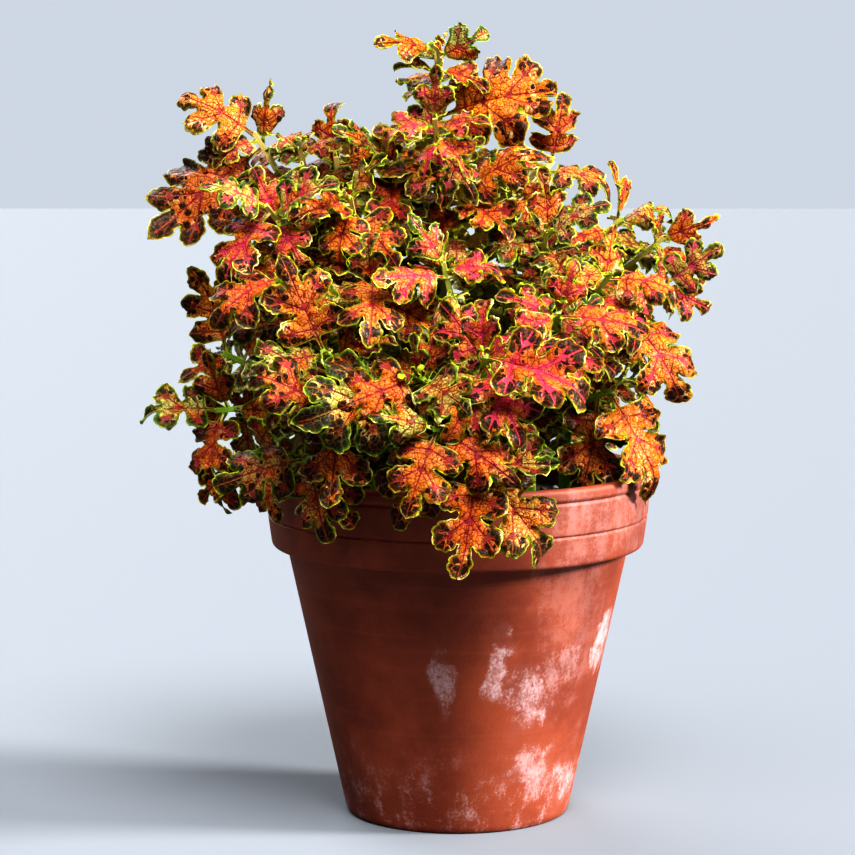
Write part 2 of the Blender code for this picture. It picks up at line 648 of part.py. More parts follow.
def clay_pot(collection, clay):
    """The pot: a tapered wall with a deep band, a rounded lip and three drain holes."""
    top, lip = POT_HEIGHT, POT_HEIGHT - LIP_HEIGHT
    middle = RIM_RADIUS - WALL / 2
    profile = [
        (0, FLOOR),
        (inner_radius(FLOOR), FLOOR),
        (inner_radius(top - 3 * MM), top - 3 * MM),
        (middle - 1.5 * MM, top),
        (middle + 1.5 * MM, top),
        (RIM_RADIUS, top - 3 * MM),
        (RIM_RADIUS, lip + 1 * MM),
        (RIM_RADIUS - LIP_GROOVE, lip),
        (RIM_RADIUS - 0.4 * MM, lip - 1 * MM),
        (RIM_RADIUS - 1.4 * MM, BAND_GROOVE_Z + 0.8 * MM),
        (RIM_RADIUS - 2.2 * MM, BAND_GROOVE_Z - 0.2 * MM),
        (BAND_BOTTOM_RADIUS, top - BAND_HEIGHT + 4 * MM),
        (BAND_BOTTOM_RADIUS - 3 * MM, top - BAND_HEIGHT),
        (NECK_RADIUS, top - BAND_HEIGHT + 0.5 * MM),
        (FOOT_RADIUS + 0.5 * MM, 3 * MM),
        (FOOT_RADIUS - 2 * MM, 0),
        (0, 0),
    ]
    pot = turned_solid("clay_pot", profile[::-1], collection, POT_SIDES, clay)
    cutters = bpy.data.collections.new("Drain cutters")
    bpy.context.scene.collection.children.link(cutters)
    for k in range(DRAIN_HOLES):
        t = math.radians(90 + 360 * k / DRAIN_HOLES)
        cutter(f"Drain cutter {k + 1}", DRAIN_CIRCLE * math.cos(t), DRAIN_CIRCLE * math.sin(t), DRAIN_RADIUS,
               -5 * MM, FLOOR + 5 * MM, cutters, 12)
    cut(pot, cutters)
    shade_round(pot)


def soil_height(x, y):
    """The soil's crumbly surface, by a formula."""
    return SOIL_LEVEL + SOIL_BUMP * math.sin(x / (9 * MM)) * math.cos(y / (11 * MM) + 1) * max(
        0, 1 - math.hypot(x, y) / (RIM_RADIUS - WALL))


def potting_soil(collection, brown):
    """The soil fills the pot, and each stem stands in a plain hole in it."""
    sides = SOIL_SIDES
    bottom = FLOOR + SOIL_GAP
    wall_gap = SOIL_GAP + 0.2 * MM
    rings = (0.5, 1)
    points, faces = [(0, 0, soil_height(0, 0))], []
    edge = inner_radius(SOIL_LEVEL) - wall_gap
    turns = [2 * math.pi * k / sides for k in range(sides)]
    for share in rings:
        for t in turns:
            x, y = edge * share * math.cos(t), edge * share * math.sin(t)
            points.append((x, y, soil_height(x, y)))
    radius = inner_radius(bottom) - wall_gap
    points += [(radius * math.cos(t), radius * math.sin(t), bottom) for t in turns]
    points.append((0, 0, bottom))
    last, count = len(points) - 1, len(rings) + 1
    for k in range(sides):
        j = (k + 1) % sides
        faces.append((0, 1 + k, 1 + j))
        for i in range(count - 1):
            a, b = 1 + i * sides + k, 1 + i * sides + j
            faces += [(a, a + sides, b + sides), (a, b + sides, b)]
        a, b = 1 + (count - 1) * sides + k, 1 + (count - 1) * sides + j
        faces.append((a, last, b))
    soil = mesh_object("potting_soil", points, faces, collection, brown)
    cutters = bpy.data.collections.new("Stem hole cutters")
    bpy.context.scene.collection.children.link(cutters)
    for stem, ((x, y), _) in STEMS.items():
        cutter(f"Hole for {stem}", x * MM, y * MM, (MAIN_RADIUS + HOLE_GAP) / math.cos(math.pi / 8),
               SOIL_LEVEL - HOLE_DEPTH, SOIL_LEVEL + 10 * MM, cutters, 8)
    cut(soil, cutters)


def main():
    for obj in list(bpy.data.objects):
        bpy.data.objects.remove(obj)
    coleus = bpy.data.collections.new("Coleus")
    bpy.context.scene.collection.children.link(coleus)
    clay = material("Fired clay", (0.46, 0.13, 0.055), 0.85)
    brown = material("Potting soil", (0.035, 0.022, 0.015), 0.95)
    green = material("Stem green", (0.18, 0.38, 0.05), 0.5)
    orange = material("Leaf orange", (0.62, 0.16, 0.05), 0.55)
    clay_pot(coleus, clay)
    potting_soil(coleus, brown)
    for name, pieces in grow().items():
        leafy_stem(name, pieces, coleus, green, orange)


main()
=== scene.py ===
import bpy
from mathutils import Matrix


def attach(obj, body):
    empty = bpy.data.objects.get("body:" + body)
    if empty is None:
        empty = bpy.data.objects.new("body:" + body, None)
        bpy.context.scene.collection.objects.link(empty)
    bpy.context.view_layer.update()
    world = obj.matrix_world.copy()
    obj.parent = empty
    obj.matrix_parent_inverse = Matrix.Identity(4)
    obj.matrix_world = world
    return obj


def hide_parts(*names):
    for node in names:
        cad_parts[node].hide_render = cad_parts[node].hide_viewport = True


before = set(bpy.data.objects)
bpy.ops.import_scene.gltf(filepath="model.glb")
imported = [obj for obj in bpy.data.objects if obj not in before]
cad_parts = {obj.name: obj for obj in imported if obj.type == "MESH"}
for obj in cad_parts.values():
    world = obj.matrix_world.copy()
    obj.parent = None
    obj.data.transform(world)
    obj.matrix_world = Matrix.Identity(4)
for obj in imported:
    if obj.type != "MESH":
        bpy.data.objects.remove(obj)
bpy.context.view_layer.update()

import math
import random

import bmesh
import bpy
import numpy as np
from mathutils import Vector, noise
from mathutils.bvhtree import BVHTree
from mathutils.geometry import delaunay_2d_cdt

mm = 0.001


# smooth shading, with edges sharper than this many degrees kept sharp
def smoothTo(mesh, degrees):
    mesh.shade_smooth()
    mesh.set_sharp_from_angle(angle=math.radians(degrees))


def addPiece(name, data):
    made = bpy.data.objects.new(name, data)
    bpy.context.scene.collection.objects.link(made)
    return made


leafCut = {
    "thickness": 0.7 * mm,
    "stalkThickness": 1.2 * mm,
    "stalkHalfWidth": 0.9 * mm,
    "stalkShare": 0.15,
    "scale": 1.2,
    "largeFrom": 61 * mm,  # a leaf longer than this has the large form
    "mediumFrom": 34 * mm,
    "lobeTurns": (48, 132),  # where a lobe's two end points lie, in degrees from its lower side
    "tipTurns": (30, 150),
    "spread": 1.08,
    "tipSpread": 1.15,
    "fold": (-6, 26),
    "curl": (-42, 12),
    "twist": 26,
    "wave": (0.07, 0.15),
    "uneven": 0.045,  # how much the lobes of one leaf differ from each other
    "facingCentre": Vector((0, 15, 225)) * mm,  # shoots lean away from this point
    "potClear": 1.5 * mm,  # leaves stay this far from the pot
    "soilClear": 2.5 * mm,
    "listedStart": 1.5,  # how far below the tip the listed leaves start, and the step between them, in mm
    "listedStep": 3.2,
    "facingShare": 0.7,  # a listed leaf's upper side looks partly outwards, partly to the front and up
    "frontUp": Vector((0, -0.55, 0.45)),
    "pairStart": 3.5 * mm,
    "pairStep": 8.0 * mm,
    "pairPitch": (52, 78),
    "pairShare": (0.7, 1.0),
    "pairDroop": 34,
}
# one lobe is (where its vein leaves the midrib, angle from the midrib, reach, half width), in blade
# lengths; end is the half width of the blade's end, and sinus how deep each cut beyond a lobe goes
leafForms = {
    "large": {
        "lobes": ((0.08, 82, 0.40, 0.150), (0.24, 57, 0.54, 0.158), (0.46, 37, 0.46, 0.120)),
        "ribs": (0.10, 0.25, 0.47, 0.72),
        "sinus": (0.11, 0.10, 0.02),
        "end": 0.105,
    },
    "medium": {
        "lobes": ((0.10, 76, 0.42, 0.160), (0.34, 46, 0.50, 0.165)),
        "ribs": (0.13, 0.55),
        "sinus": (0.11, 0.03),
        "end": 0.135,
    },
    "young": {
        "lobes": ((0.22, 52, 0.50, 0.180),),
        "ribs": (0.15, 0.55),
        "sinus": (0.05,),
        "end": 0.15,
    },
}


# a leaf seen from the front: clock is its way up the picture, in degrees from +X, and lean is towards -Y
def leaf(clock, lean, length, below=None, roll=0, droop=38):
    return {"clock": clock, "lean": lean, "length": length, "below": below, "roll": roll, "droop": droop}


# a side shoot has the leaves listed, or crossed pairs by rule, and its sizes are in millimetres
def shoot(tip, leaves=None, fork=0.5, pairs=0, length=44, turn=20):
    return {"tip": tip, "leaves": leaves or [], "fork": fork, "pairs": pairs, "length": length,
            "turn": turn}


# each stem is its foot in the soil and its shoots, and the first shoot is the end of the main stem
stems = {
    "leafy_stem_top": ((-8, 10), (
        shoot((-11, -2, 394), [leaf(172, 12, 27), leaf(28, 5, 27, roll=60), leaf(100, 30, 19),
                               leaf(-22, 18, 24), leaf(14, 4, 54, below=34, roll=45, droop=60),
                               leaf(215, -30, 34, below=30)]),
        shoot((-12, -34, 360), [leaf(88, 15, 24), leaf(192, 22, 26), leaf(8, 20, 24), leaf(-52, 35, 28),
                                leaf(250, 40, 22)], 0.72),
        shoot((50, 38, 336), [leaf(80, 10, 32), leaf(185, 10, 36), leaf(-12, 10, 34),
                              leaf(250, 30, 30)], 0.6),
        shoot((2, -22, 326), [leaf(160, 15, 36), leaf(28, 10, 40), leaf(-35, 40, 34),
                              leaf(250, 45, 30)], 0.5),
        shoot((-34, -26, 338), [leaf(150, 15, 30), leaf(30, 12, 30), leaf(262, 30, 32),
                                leaf(88, 5, 24)], 0.55),
    )),
    "leafy_stem_upper_left": ((-42, 2), (
        shoot((-104, -4, 352), [leaf(152, 5, 40, roll=-30, droop=72), leaf(188, 18, 32, droop=60),
                                leaf(84, 0, 28, roll=30), leaf(15, 30, 26),
                                leaf(218, 14, 60, below=9, roll=-42, droop=30)]),
        shoot((-80, -24, 345), [leaf(150, 20, 18), leaf(20, 20, 22), leaf(268, 35, 24),
                                leaf(92, 25, 26)], 0.75),
        shoot((-62, -14, 340), [leaf(96, 0, 26, droop=20), leaf(34, 10, 46, roll=40, droop=22),
                                leaf(-40, 40, 30)], 0.62),
        shoot((-95, -64, 318), [leaf(160, 20, 30), leaf(238, 22, 40), leaf(28, 15, 32),
                                leaf(-58, 25, 27), leaf(115, 0, 26)], 0.5),
        shoot((-54, -52, 322), [leaf(52, 15, 24), leaf(178, 15, 30), leaf(255, 35, 30),
                                leaf(-28, 20, 34)], 0.45),
    )),
    "leafy_stem_left": ((-58, -14), (
        shoot((-120, -12, 240), [leaf(112, 0, 40, droop=-60), leaf(176, 10, 26),
                                 leaf(215, 10, 28, droop=80), leaf(60, 10, 30)]),
        shoot((-122, -42, 214), [leaf(182, 8, 34), leaf(262, 20, 36), leaf(120, 10, 28),
                                 leaf(-5, 20, 26)], 0.6),
        shoot((-108, -54, 192), [leaf(216, 5, 32), leaf(252, 12, 30), leaf(292, 20, 32)], 0.45),
        shoot((-86, -74, 284), [leaf(214, 25, 40, droop=60), leaf(-50, 25, 36), leaf(70, 5, 30),
                                leaf(150, 0, 34)], 0.55),
    )),
    "leafy_stem_front_left": ((-34, -44), (
        shoot((-66, -102, 250), [leaf(114, 5, 42, droop=15), leaf(170, 12, 38), leaf(15, 15, 30),
                                 leaf(262, 35, 32)]),
        shoot((-62, -112, 222), [leaf(152, 15, 40), leaf(188, 20, 50, below=14), leaf(-20, 25, 30),
                                 leaf(236, 30, 44, below=18)], 0.62),
        shoot((-76, -94, 196), [leaf(196, 10, 40), leaf(262, 10, 36), leaf(300, 20, 34),
                                leaf(228, 5, 40, below=12)], 0.4),
        shoot((-42, -84, 284), [leaf(236, 25, 38), leaf(200, 20, 36, below=10), leaf(85, 10, 26),
                                leaf(-60, 30, 34)], 0.6),
    )),
    "leafy_stem_front": ((4, -58), (
        shoot((12, -126, 250), [leaf(-18, 14, 48), leaf(62, 8, 26), leaf(14, 10, 34, below=8),
                                leaf(118, 10, 30), leaf(232, 30, 38), leaf(-62, 30, 40, below=12)]),
        shoot((-22, -118, 240), [leaf(186, 18, 58, below=12), leaf(168, 12, 40), leaf(-52, 30, 36),
                                 leaf(80, 5, 26)], 0.6),
        shoot((-12, -134, 216), [leaf(166, 12, 28), leaf(250, 18, 38), leaf(-56, 22, 40),
                                 leaf(192, 12, 40, below=10), leaf(228, 10, 46, below=16),
                                 leaf(16, 10, 54, below=14)], 0.45),
        shoot((8, -126, 196), [leaf(262, 10, 44, droop=20), leaf(-12, 15, 34), leaf(204, 15, 26),
                               leaf(-50, 5, 50, below=12, droop=20)], 0.32),
        shoot((-8, -92, 292), [leaf(124, 12, 26), leaf(2, 10, 24), leaf(172, 14, 32),
                               leaf(48, 10, 32, below=8), leaf(268, 40, 28)], 0.7),
    )),
    "leafy_stem_right": ((54, -26), (
        shoot((76, -48, 284), [leaf(190, 20, 28), leaf(-8, 15, 34), leaf(95, 10, 24),
                               leaf(-55, 35, 34)]),
        shoot((48, -90, 268), [leaf(214, 15, 26), leaf(74, 10, 24), leaf(-8, 12, 38), leaf(158, 10, 28),
                               leaf(-70, 30, 34)], 0.62),
        shoot((86, -44, 262), [leaf(-58, 15, 44), leaf(6, 10, 34), leaf(222, 20, 32),
                               leaf(-24, 5, 32, below=9), leaf(80, 10, 26)], 0.62),
        shoot((76, -44, 224), [leaf(-64, 8, 50), leaf(-8, 10, 34), leaf(-102, 12, 46, below=8),
                               leaf(40, 10, 30)], 0.42),
    )),
    "leafy_stem_upper_right": ((38, 22), (
        shoot((84, 14, 308), [leaf(100, 10, 26), leaf(20, 10, 28), leaf(200, 20, 30),
                              leaf(-40, 20, 30)]),
        shoot((106, 8, 298), [leaf(40, 5, 26, roll=25), leaf(100, 0, 26, roll=20), leaf(-30, 20, 30),
                              leaf(170, 30, 26)], 0.66),
        shoot((106, -12, 276), [leaf(34, 8, 30, roll=30), leaf(-14, 6, 27, roll=25), leaf(205, 25, 30),
                                leaf(-70, 20, 34)], 0.5),
        shoot((44, -30, 304), [leaf(95, 10, 28), leaf(30, 12, 32), leaf(190, 15, 30),
                               leaf(-50, 35, 34)], 0.6),
    )),
    "leafy_stem_back_left": ((-28, 46), (
        shoot((-54, 62, 338), pairs=2, length=42, turn=30),
        shoot((-104, 58, 272), pairs=2, length=48, turn=70, fork=0.55),
        shoot((-66, 112, 248), pairs=2, length=48, turn=10, fork=0.5),
        shoot((-92, 84, 206), pairs=2, length=46, turn=40, fork=0.4),
        shoot((-10, 60, 336), pairs=1, length=44, turn=15, fork=0.7),
    )),
    "leafy_stem_back_right": ((26, 52), (
        shoot((34, 84, 318), pairs=2, length=44, turn=60),
        shoot((92, 66, 272), pairs=2, length=48, turn=20, fork=0.55),
        shoot((44, 124, 250), pairs=2, length=48, turn=75, fork=0.5),
        shoot((98, 42, 220), pairs=1, length=46, turn=40, fork=0.42),
        shoot((4, 122, 214), pairs=2, length=48, turn=15, fork=0.4),
    )),
}


def lobeCentre(veinY, angle, reach, halfWidth):
    return np.array((math.sin(angle), math.cos(angle))) * (reach - halfWidth) + (0.0, veinY)


# points round the end of one lobe
def lobeEnd(veinY, angle, reach, halfWidth, turns, spread=1.0):
    along = np.array((math.sin(angle), math.cos(angle)))
    side = np.array((math.cos(angle), -math.sin(angle)))
    centre = lobeCentre(veinY, angle, reach, halfWidth)
    return [centre + halfWidth * spread * (side * math.cos(t) + along * math.sin(t))
            for t in np.radians(turns)]


# the bottom of the cut between two lobes: midway between their round ends, then in towards the midrib
def sinusPoint(lobe, nextLobe, depth):
    first, second = lobeCentre(*lobe), lobeCentre(*nextLobe)
    way = second - first
    span = math.hypot(*way)
    way = way / span
    middle = first + way * (lobe[3] + (span - lobe[3] - nextLobe[3]) / 2)
    return middle + np.array((-way[1], way[0])) * depth


# a half blade's lobes, each with the next one up
def lobesOf(form, wobble):
    lobes = [(y, math.radians(a * wobble[i]), r * wobble[i + 3], w)
             for i, (y, a, r, w) in enumerate(form["lobes"])]
    return lobes, lobes[1:] + [(1 - form["end"], 0.0, form["end"], form["end"])]


def bladeSide(form, wobble):
    points = []
    for lobe, nextLobe, depth in zip(*lobesOf(form, wobble), form["sinus"]):
        points += lobeEnd(*lobe, leafCut["lobeTurns"], leafCut["spread"])
        points.append(sinusPoint(lobe, nextLobe, depth))
    return points


def wobbles(rng):
    return [rng.uniform(1 - leafCut["uneven"], 1 + leafCut["uneven"]) for _ in range(6)]


# a leaf laid flat with few points: these, its triangles, and the lengths of its stalk and its blade
def flatLeaf(formName, whole, rng):
    form = leafForms[formName]
    stalk = whole * leafCut["stalkShare"]
    blade = whole - stalk
    leftWobble, rightWobble = wobbles(rng), wobbles(rng)
    right = [p * blade for p in bladeSide(form, rightWobble)]
    left = [p * blade * (-1, 1) for p in bladeSide(form, leftWobble)]
    tip = form["end"]
    end = [p * blade for p in lobeEnd(1 - tip, 0, tip, tip, leafCut["tipTurns"], leafCut["tipSpread"])]
    foot = [np.array((way * leafCut["stalkHalfWidth"], -stalk)) for way in (1, -1)]
    margin = foot[:1] + right + end + left[::-1] + foot[1:]
    inner = [np.array((0.0, y * blade)) for y in form["ribs"]]
    count = len(margin)
    loop = [(i, (i + 1) % count) for i in range(count)]
    midrib = [(count + i, count + i + 1) for i in range(len(inner) - 1)]
    points = [Vector(p) for p in margin + inner]
    flat, _, triangles, *_ = delaunay_2d_cdt(points, loop + midrib, [], 1, 1e-7)
    return np.array([tuple(p) for p in flat]), [tuple(t) for t in triangles], stalk, blade


def cross(a, b):
    return np.stack((a[:, 1] * b[:, 2] - a[:, 2] * b[:, 1],
                     a[:, 2] * b[:, 0] - a[:, 0] * b[:, 2],
                     a[:, 0] * b[:, 1] - a[:, 1] * b[:, 0]), axis=1)


# moves flat points to where the bent leaf holds them: the midrib arches, the sides fold, the lobes wave
def bend(flat, stalk, blade, pose):
    root, along, up, droop, fold, curl, wave, phase, twist = pose
    side = np.cross(along, up)
    share = np.linspace(0, 1, 33)
    turn = math.radians(droop) * share ** 1.4
    step = (stalk + blade) / 32
    ahead = np.concatenate(([0], np.cumsum((np.cos(turn[1:]) + np.cos(turn[:-1])) / 2))) * step
    drop = np.concatenate(([0], np.cumsum((np.sin(turn[1:]) + np.sin(turn[:-1])) / 2))) * step
    x, y = flat[:, 0], flat[:, 1]
    s = np.clip((y + stalk) / (stalk + blade), 0, 1)
    angle = np.interp(s, share, turn)
    normal = np.outer(np.sin(angle), along) + np.outer(np.cos(angle), up)
    midrib = root + np.outer(np.interp(s, share, ahead), along) - np.outer(np.interp(s, share, drop), up)
    spin = twist * s
    across = np.outer(np.cos(spin), side) + normal * np.sin(spin)[:, None]
    upward = normal * np.cos(spin)[:, None] - np.outer(np.sin(spin), side)
    out = np.abs(x)
    rise = fold + curl * out / (0.45 * blade)
    radius = np.hypot(x, y - 0.25 * blade) / blade
    ripple = wave * blade * np.clip(radius, 0, 0.8) ** 1.5 * np.sin(
        6.0 * np.arctan2(x, np.maximum(y - 0.2 * blade, -0.1 * blade) + 0.15 * blade) + phase)
    ripple = ripple * np.clip(y / (0.1 * blade), 0, 1)
    lift = out * np.sin(rise) + ripple
    reach = np.sign(x) * out * np.cos(rise)
    return midrib + across * reach[:, None] + upward * lift[:, None]


def bentWithNormals(flat, stalk, blade, pose):
    small = 0.02 * blade
    steps = ((0, 0), (small, 0), (-small, 0), (0, small), (0, -small))
    around = np.concatenate([flat + step for step in steps])
    mid, east, west, north, south = bend(around, stalk, blade, pose).reshape(5, -1, 3)
    normal = cross(east - west, north - south)
    return mid, normal / np.linalg.norm(normal, axis=1)[:, None]


# the frame's solid of a leaf: the same triangles on both faces, and a wall along the margin
def thickLeaf(flat, triangles, stalk, blade, pose, room=0):
    mid, normal = bentWithNormals(flat, stalk, blade, pose)
    onStalk = np.clip(1 - (flat[:, 1] + stalk) / (stalk + 0.2 * blade), 0, 1)
    extra = (leafCut["stalkThickness"] - leafCut["thickness"]) * onStalk
    half = (leafCut["thickness"] + extra) / 2 + room
    above, below = mid + normal * half[:, None], mid - normal * half[:, None]
    count = len(flat)
    faces = list(triangles) + [tuple(i + count for i in reversed(t)) for t in triangles]
    edges = {}
    for a, b, c in triangles:
        for edge in ((a, b), (b, c), (c, a)):
            edges[edge] = edge[::-1] not in edges and edges.get(edge, True)
            if edge[::-1] in edges:
                edges[edge] = edges[edge[::-1]] = False
    for (a, b), openEdge in edges.items():
        if openEdge:
            faces += [(b, a, a + count), (b, a + count, b + count)]
    return np.concatenate((above, below)), faces


stem = {
    "mainRadius": 4.0 * mm,
    "sideRadius": 2.2 * mm,
    "tipRadius": 1.6 * mm,
    "sides": 4,
    "fineSides": 16,
    "mainRings": 8,
    "sideRings": 4,
    "taper": 1.2,
    "upright": 6 * mm,  # how far above its hole a stem starts to bend
    "facingLift": 35 * mm,
    "squareness": 0.16,  # how far the section's corners stand out
    "curveSteps": 6,
    "paleFrom": 0.17,  # the height where the stems start to pale, and how far up they are all pale
    "paleOver": 0.2,
}


# a shoot's path: it leaves its start one way and ends at its tip another way
def shootPath(start, startWay, tip, tipWay, rings):
    span = (tip - start).length
    a, b = startWay.normalized() * span * 0.9, tipWay.normalized() * span * 0.9
    points = []
    for i in range(rings):
        t = i / (rings - 1)
        points.append(start * (2 * t**3 - 3 * t**2 + 1) + a * (t**3 - 2 * t**2 + t)
                      + tip * (3 * t**2 - 2 * t**3) + b * (t**3 - t**2))
    return points


# a point and the direction there, by its share of the path's rings
def alongPath(path, share):
    at = min(max(share, 0.0), 0.999) * (len(path) - 1)
    i = int(at)
    return path[i].lerp(path[i + 1], at - i), (path[i + 1] - path[i]).normalized()


# a point and the direction there, by its distance back from the path's tip
def belowTip(path, distance):
    for i in range(len(path) - 1, 0, -1):
        step = path[i] - path[i - 1]
        if distance <= step.length or i == 1:
            return path[i].lerp(path[i - 1], min(distance / step.length, 1.0)), step.normalized()
        distance -= step.length


# the frame's solid of a shoot
def tube(path, radii, sides):
    points, faces = [], []
    way = (path[1] - path[0]).normalized()
    across = way.orthogonal().normalized()
    for i, (centre, radius) in enumerate(zip(path, radii)):
        way = (path[min(i + 1, len(path) - 1)] - path[max(i - 1, 0)]).normalized()
        across = (across - way * across.dot(way)).normalized()
        other = way.cross(across)
        for k in range(sides):
            t = 2 * math.pi * k / sides
            points.append(centre + (across * math.cos(t) + other * math.sin(t)) * radius)
    for i in range(len(path) - 1):
        for k in range(sides):
            a, b = i * sides + k, i * sides + (k + 1) % sides
            faces += [(a, b, b + sides), (a, b + sides, a + sides)]
    last = (len(path) - 1) * sides
    for k in range(1, sides - 1):
        faces += [(0, k + 1, k), (last, last + k, last + k + 1)]
    return np.array([tuple(p) for p in points]), faces


# everything placed so far, for finding what a new leaf would cross
class Guard:

    def __init__(self):
        self.things = []
        self.lows, self.highs = np.empty((0, 3)), np.empty((0, 3))

    def add(self, points, faces, name):
        tree = BVHTree.FromPolygons([tuple(p) for p in points], faces)
        self.things.append((tree, name))
        self.lows = np.vstack((self.lows, points.min(0)))
        self.highs = np.vstack((self.highs, points.max(0)))

    def crossed(self, points, faces, skip):
        tree = BVHTree.FromPolygons([tuple(p) for p in points], faces)
        near = (self.highs >= points.min(0)).all(1) & (self.lows <= points.max(0)).all(1)
        found = {}
        for i in np.flatnonzero(near):
            other, name = self.things[i]
            pairs = 0 if name in skip else len(tree.overlap(other))
            if pairs:
                found[name] = found.get(name, 0) + pairs
        return found


# a stalk's end, a little out from the stem's middle
def onStem(point, way, out):
    return point + (out - way * out.dot(way)).normalized() * 0.4 * stem["tipRadius"]


# where a leaf starts at the side of a shoot, which way it runs, and its upper side
def sideSpot(path, below, azimuth, pitch):
    point, way = belowTip(path, below)
    base = way.orthogonal().normalized()
    around, tilt = math.radians(azimuth), math.radians(pitch)
    out = base * math.cos(around) + way.cross(base) * math.sin(around)
    along = way * math.cos(tilt) + out * math.sin(tilt)
    up = way * math.sin(tilt) - out * math.cos(tilt)
    return onStem(point, way, out), along, up


def listedLeaf(spec, path, facing, rank):
    clock, lean = math.radians(spec["clock"]), math.radians(spec["lean"])
    chord = Vector((math.cos(clock) * math.cos(lean), -math.sin(lean), math.sin(clock) * math.cos(lean)))
    below = spec["below"]
    if below is None:
        below = leafCut["listedStart"] + leafCut["listedStep"] * rank
    point, way = belowTip(path, below * mm)
    point = onStem(point, way, chord)
    hint = (facing * leafCut["facingShare"] + leafCut["frontUp"]).normalized()
    up = (hint - chord * hint.dot(chord)).normalized()
    roll = math.radians(spec["roll"])
    up = (up * math.cos(roll) + chord.cross(up) * math.sin(roll)).normalized()
    return point, chord, up, spec["length"] * leafCut["scale"] * mm, spec["droop"]


def ruledLeaf(pair, left, info, path):
    below = leafCut["pairStart"] + leafCut["pairStep"] * pair
    azimuth = info["turn"] + 90 * pair + (180 if left else 0)
    length = info["length"] * leafCut["pairShare"][pair] * mm
    return *sideSpot(path, below, azimuth, leafCut["pairPitch"][pair]), length, leafCut["pairDroop"]


# swings a vector round an axis
def turned(vector, axis, degrees):
    angle = math.radians(degrees)
    return (vector * math.cos(angle) + axis.cross(vector) * math.sin(angle)
            + axis * axis.dot(vector) * (1 - math.cos(angle)))


# a leaf that would cross another one is swung, lifted or shortened by these, in this order, until clear
leafTries = [(swing, lift, size) for size in (1.0, 0.88, 0.76) for lift in (0, 10, -10, 20, -20, 30)
             for swing in (0, 11, -11, 22, -22, 33)]
leafRoom = 0.25 * mm
mostCrossed = 8  # pairs of triangles that may cross between two leaves of one stem


def placeLeaf(spot, form, rng, guard, own, sameStem, tries=leafTries):
    point, along, up, whole, droop = spot
    fold = math.radians(rng.uniform(*leafCut["fold"]))
    curl = math.radians(rng.uniform(*leafCut["curl"]))
    wave, phase = rng.uniform(*leafCut["wave"]), rng.uniform(0, 2 * math.pi)
    twist = math.radians(rng.uniform(-leafCut["twist"], leafCut["twist"]))
    droop = droop * rng.uniform(0.8, 1.2)
    shapeSeed = rng.random()
    chordLift = math.radians(droop * 0.4)
    start = along * math.cos(chordLift) + up * math.sin(chordLift)
    top = up * math.cos(chordLift) - along * math.sin(chordLift)
    best, fewest = None, mostCrossed + 1
    for swing, lift, size in tries:
        side = start.cross(top)
        a = turned(turned(start, top, swing), side, lift)
        u = turned(turned(top, top, swing), side, lift)
        flat = flatLeaf(form, whole * size, random.Random(shapeSeed))
        pose = (np.array(point), np.array(a), np.array(u), droop, fold, curl, wave, phase, twist)
        crossed = guard.crossed(*thickLeaf(*flat, pose, leafRoom), own)
        pairs = crossed.pop(sameStem, 0)
        if not crossed and pairs < fewest:
            best, fewest = (flat, pose), pairs
            if not pairs:
                break
    if best is None:
        return None
    flat, pose = best
    return {"solid": thickLeaf(*flat, pose), "pose": pose, "form": form, "seed": shapeSeed,
            "stalk": flat[2], "blade": flat[3]}


# lays out every stem's shoots as the frame's solids have them
def layOutStems(guard):
    shootsLaid = []
    for name, ((footX, footY), shoots) in stems.items():
        foot = Vector((footX * mm, footY * mm, soil["level"] - soil["holeDepth"] + soil["holeGap"]))
        surface = foot + Vector((0, 0, soil["holeDepth"] + stem["upright"]))
        for n, info in enumerate(shoots):
            tip = Vector(info["tip"]) * mm
            facing = ((tip - leafCut["facingCentre"]) + Vector((0, 0, stem["facingLift"]))).normalized()
            if n == 0:
                thick, last = stem["mainRadius"], stem["mainRings"] - 1
                main = [foot] + shootPath(surface, Vector((0, 0, 1)), tip, facing, last + 1)
                path, radii = main, [thick, thick]
                radii += [thick + (stem["tipRadius"] - thick) * (i / last) ** stem["taper"]
                          for i in range(1, last + 1)]
            else:
                thick, last = stem["sideRadius"], stem["sideRings"] - 1
                start, way = alongPath(main, info["fork"])
                path = shootPath(start, way + (tip - start).normalized(), tip, facing, last + 1)
                radii = [thick + (stem["tipRadius"] - thick) * i / last for i in range(last + 1)]
            points, faces = tube(path, radii, stem["sides"])
            guard.add(points, faces, f"{name}.{n}")
            shootsLaid.append({"stem": name, "n": n, "key": f"{name}.{n}", "info": info, "path": path,
                               "radii": radii, "facing": facing, "leaves": []})
    return shootsLaid


# the leaf form that suits a length
def formFor(length):
    if length > leafCut["largeFrom"]:
        return "large"
    return "medium" if length > leafCut["mediumFrom"] else "young"


def placeLargeLeaves(shootsLaid, guard):
    for laid in shootsLaid:
        info, path = laid["info"], laid["path"]
        rng = random.Random(laid["key"])
        spots = [listedLeaf(spec, path, laid["facing"], rank)
                 for rank, spec in enumerate(info["leaves"])]
        spots += [ruledLeaf(pair, left, info, path) for pair in range(info["pairs"])
                  for left in (False, True)]
        for spot in spots:
            made = placeLeaf(spot, formFor(spot[3]), rng, guard, {laid["key"]}, laid["stem"] + " leaf")
            if made is None:
                continue
            guard.add(*made["solid"], laid["stem"] + " leaf")
            laid["leaves"].append(made)


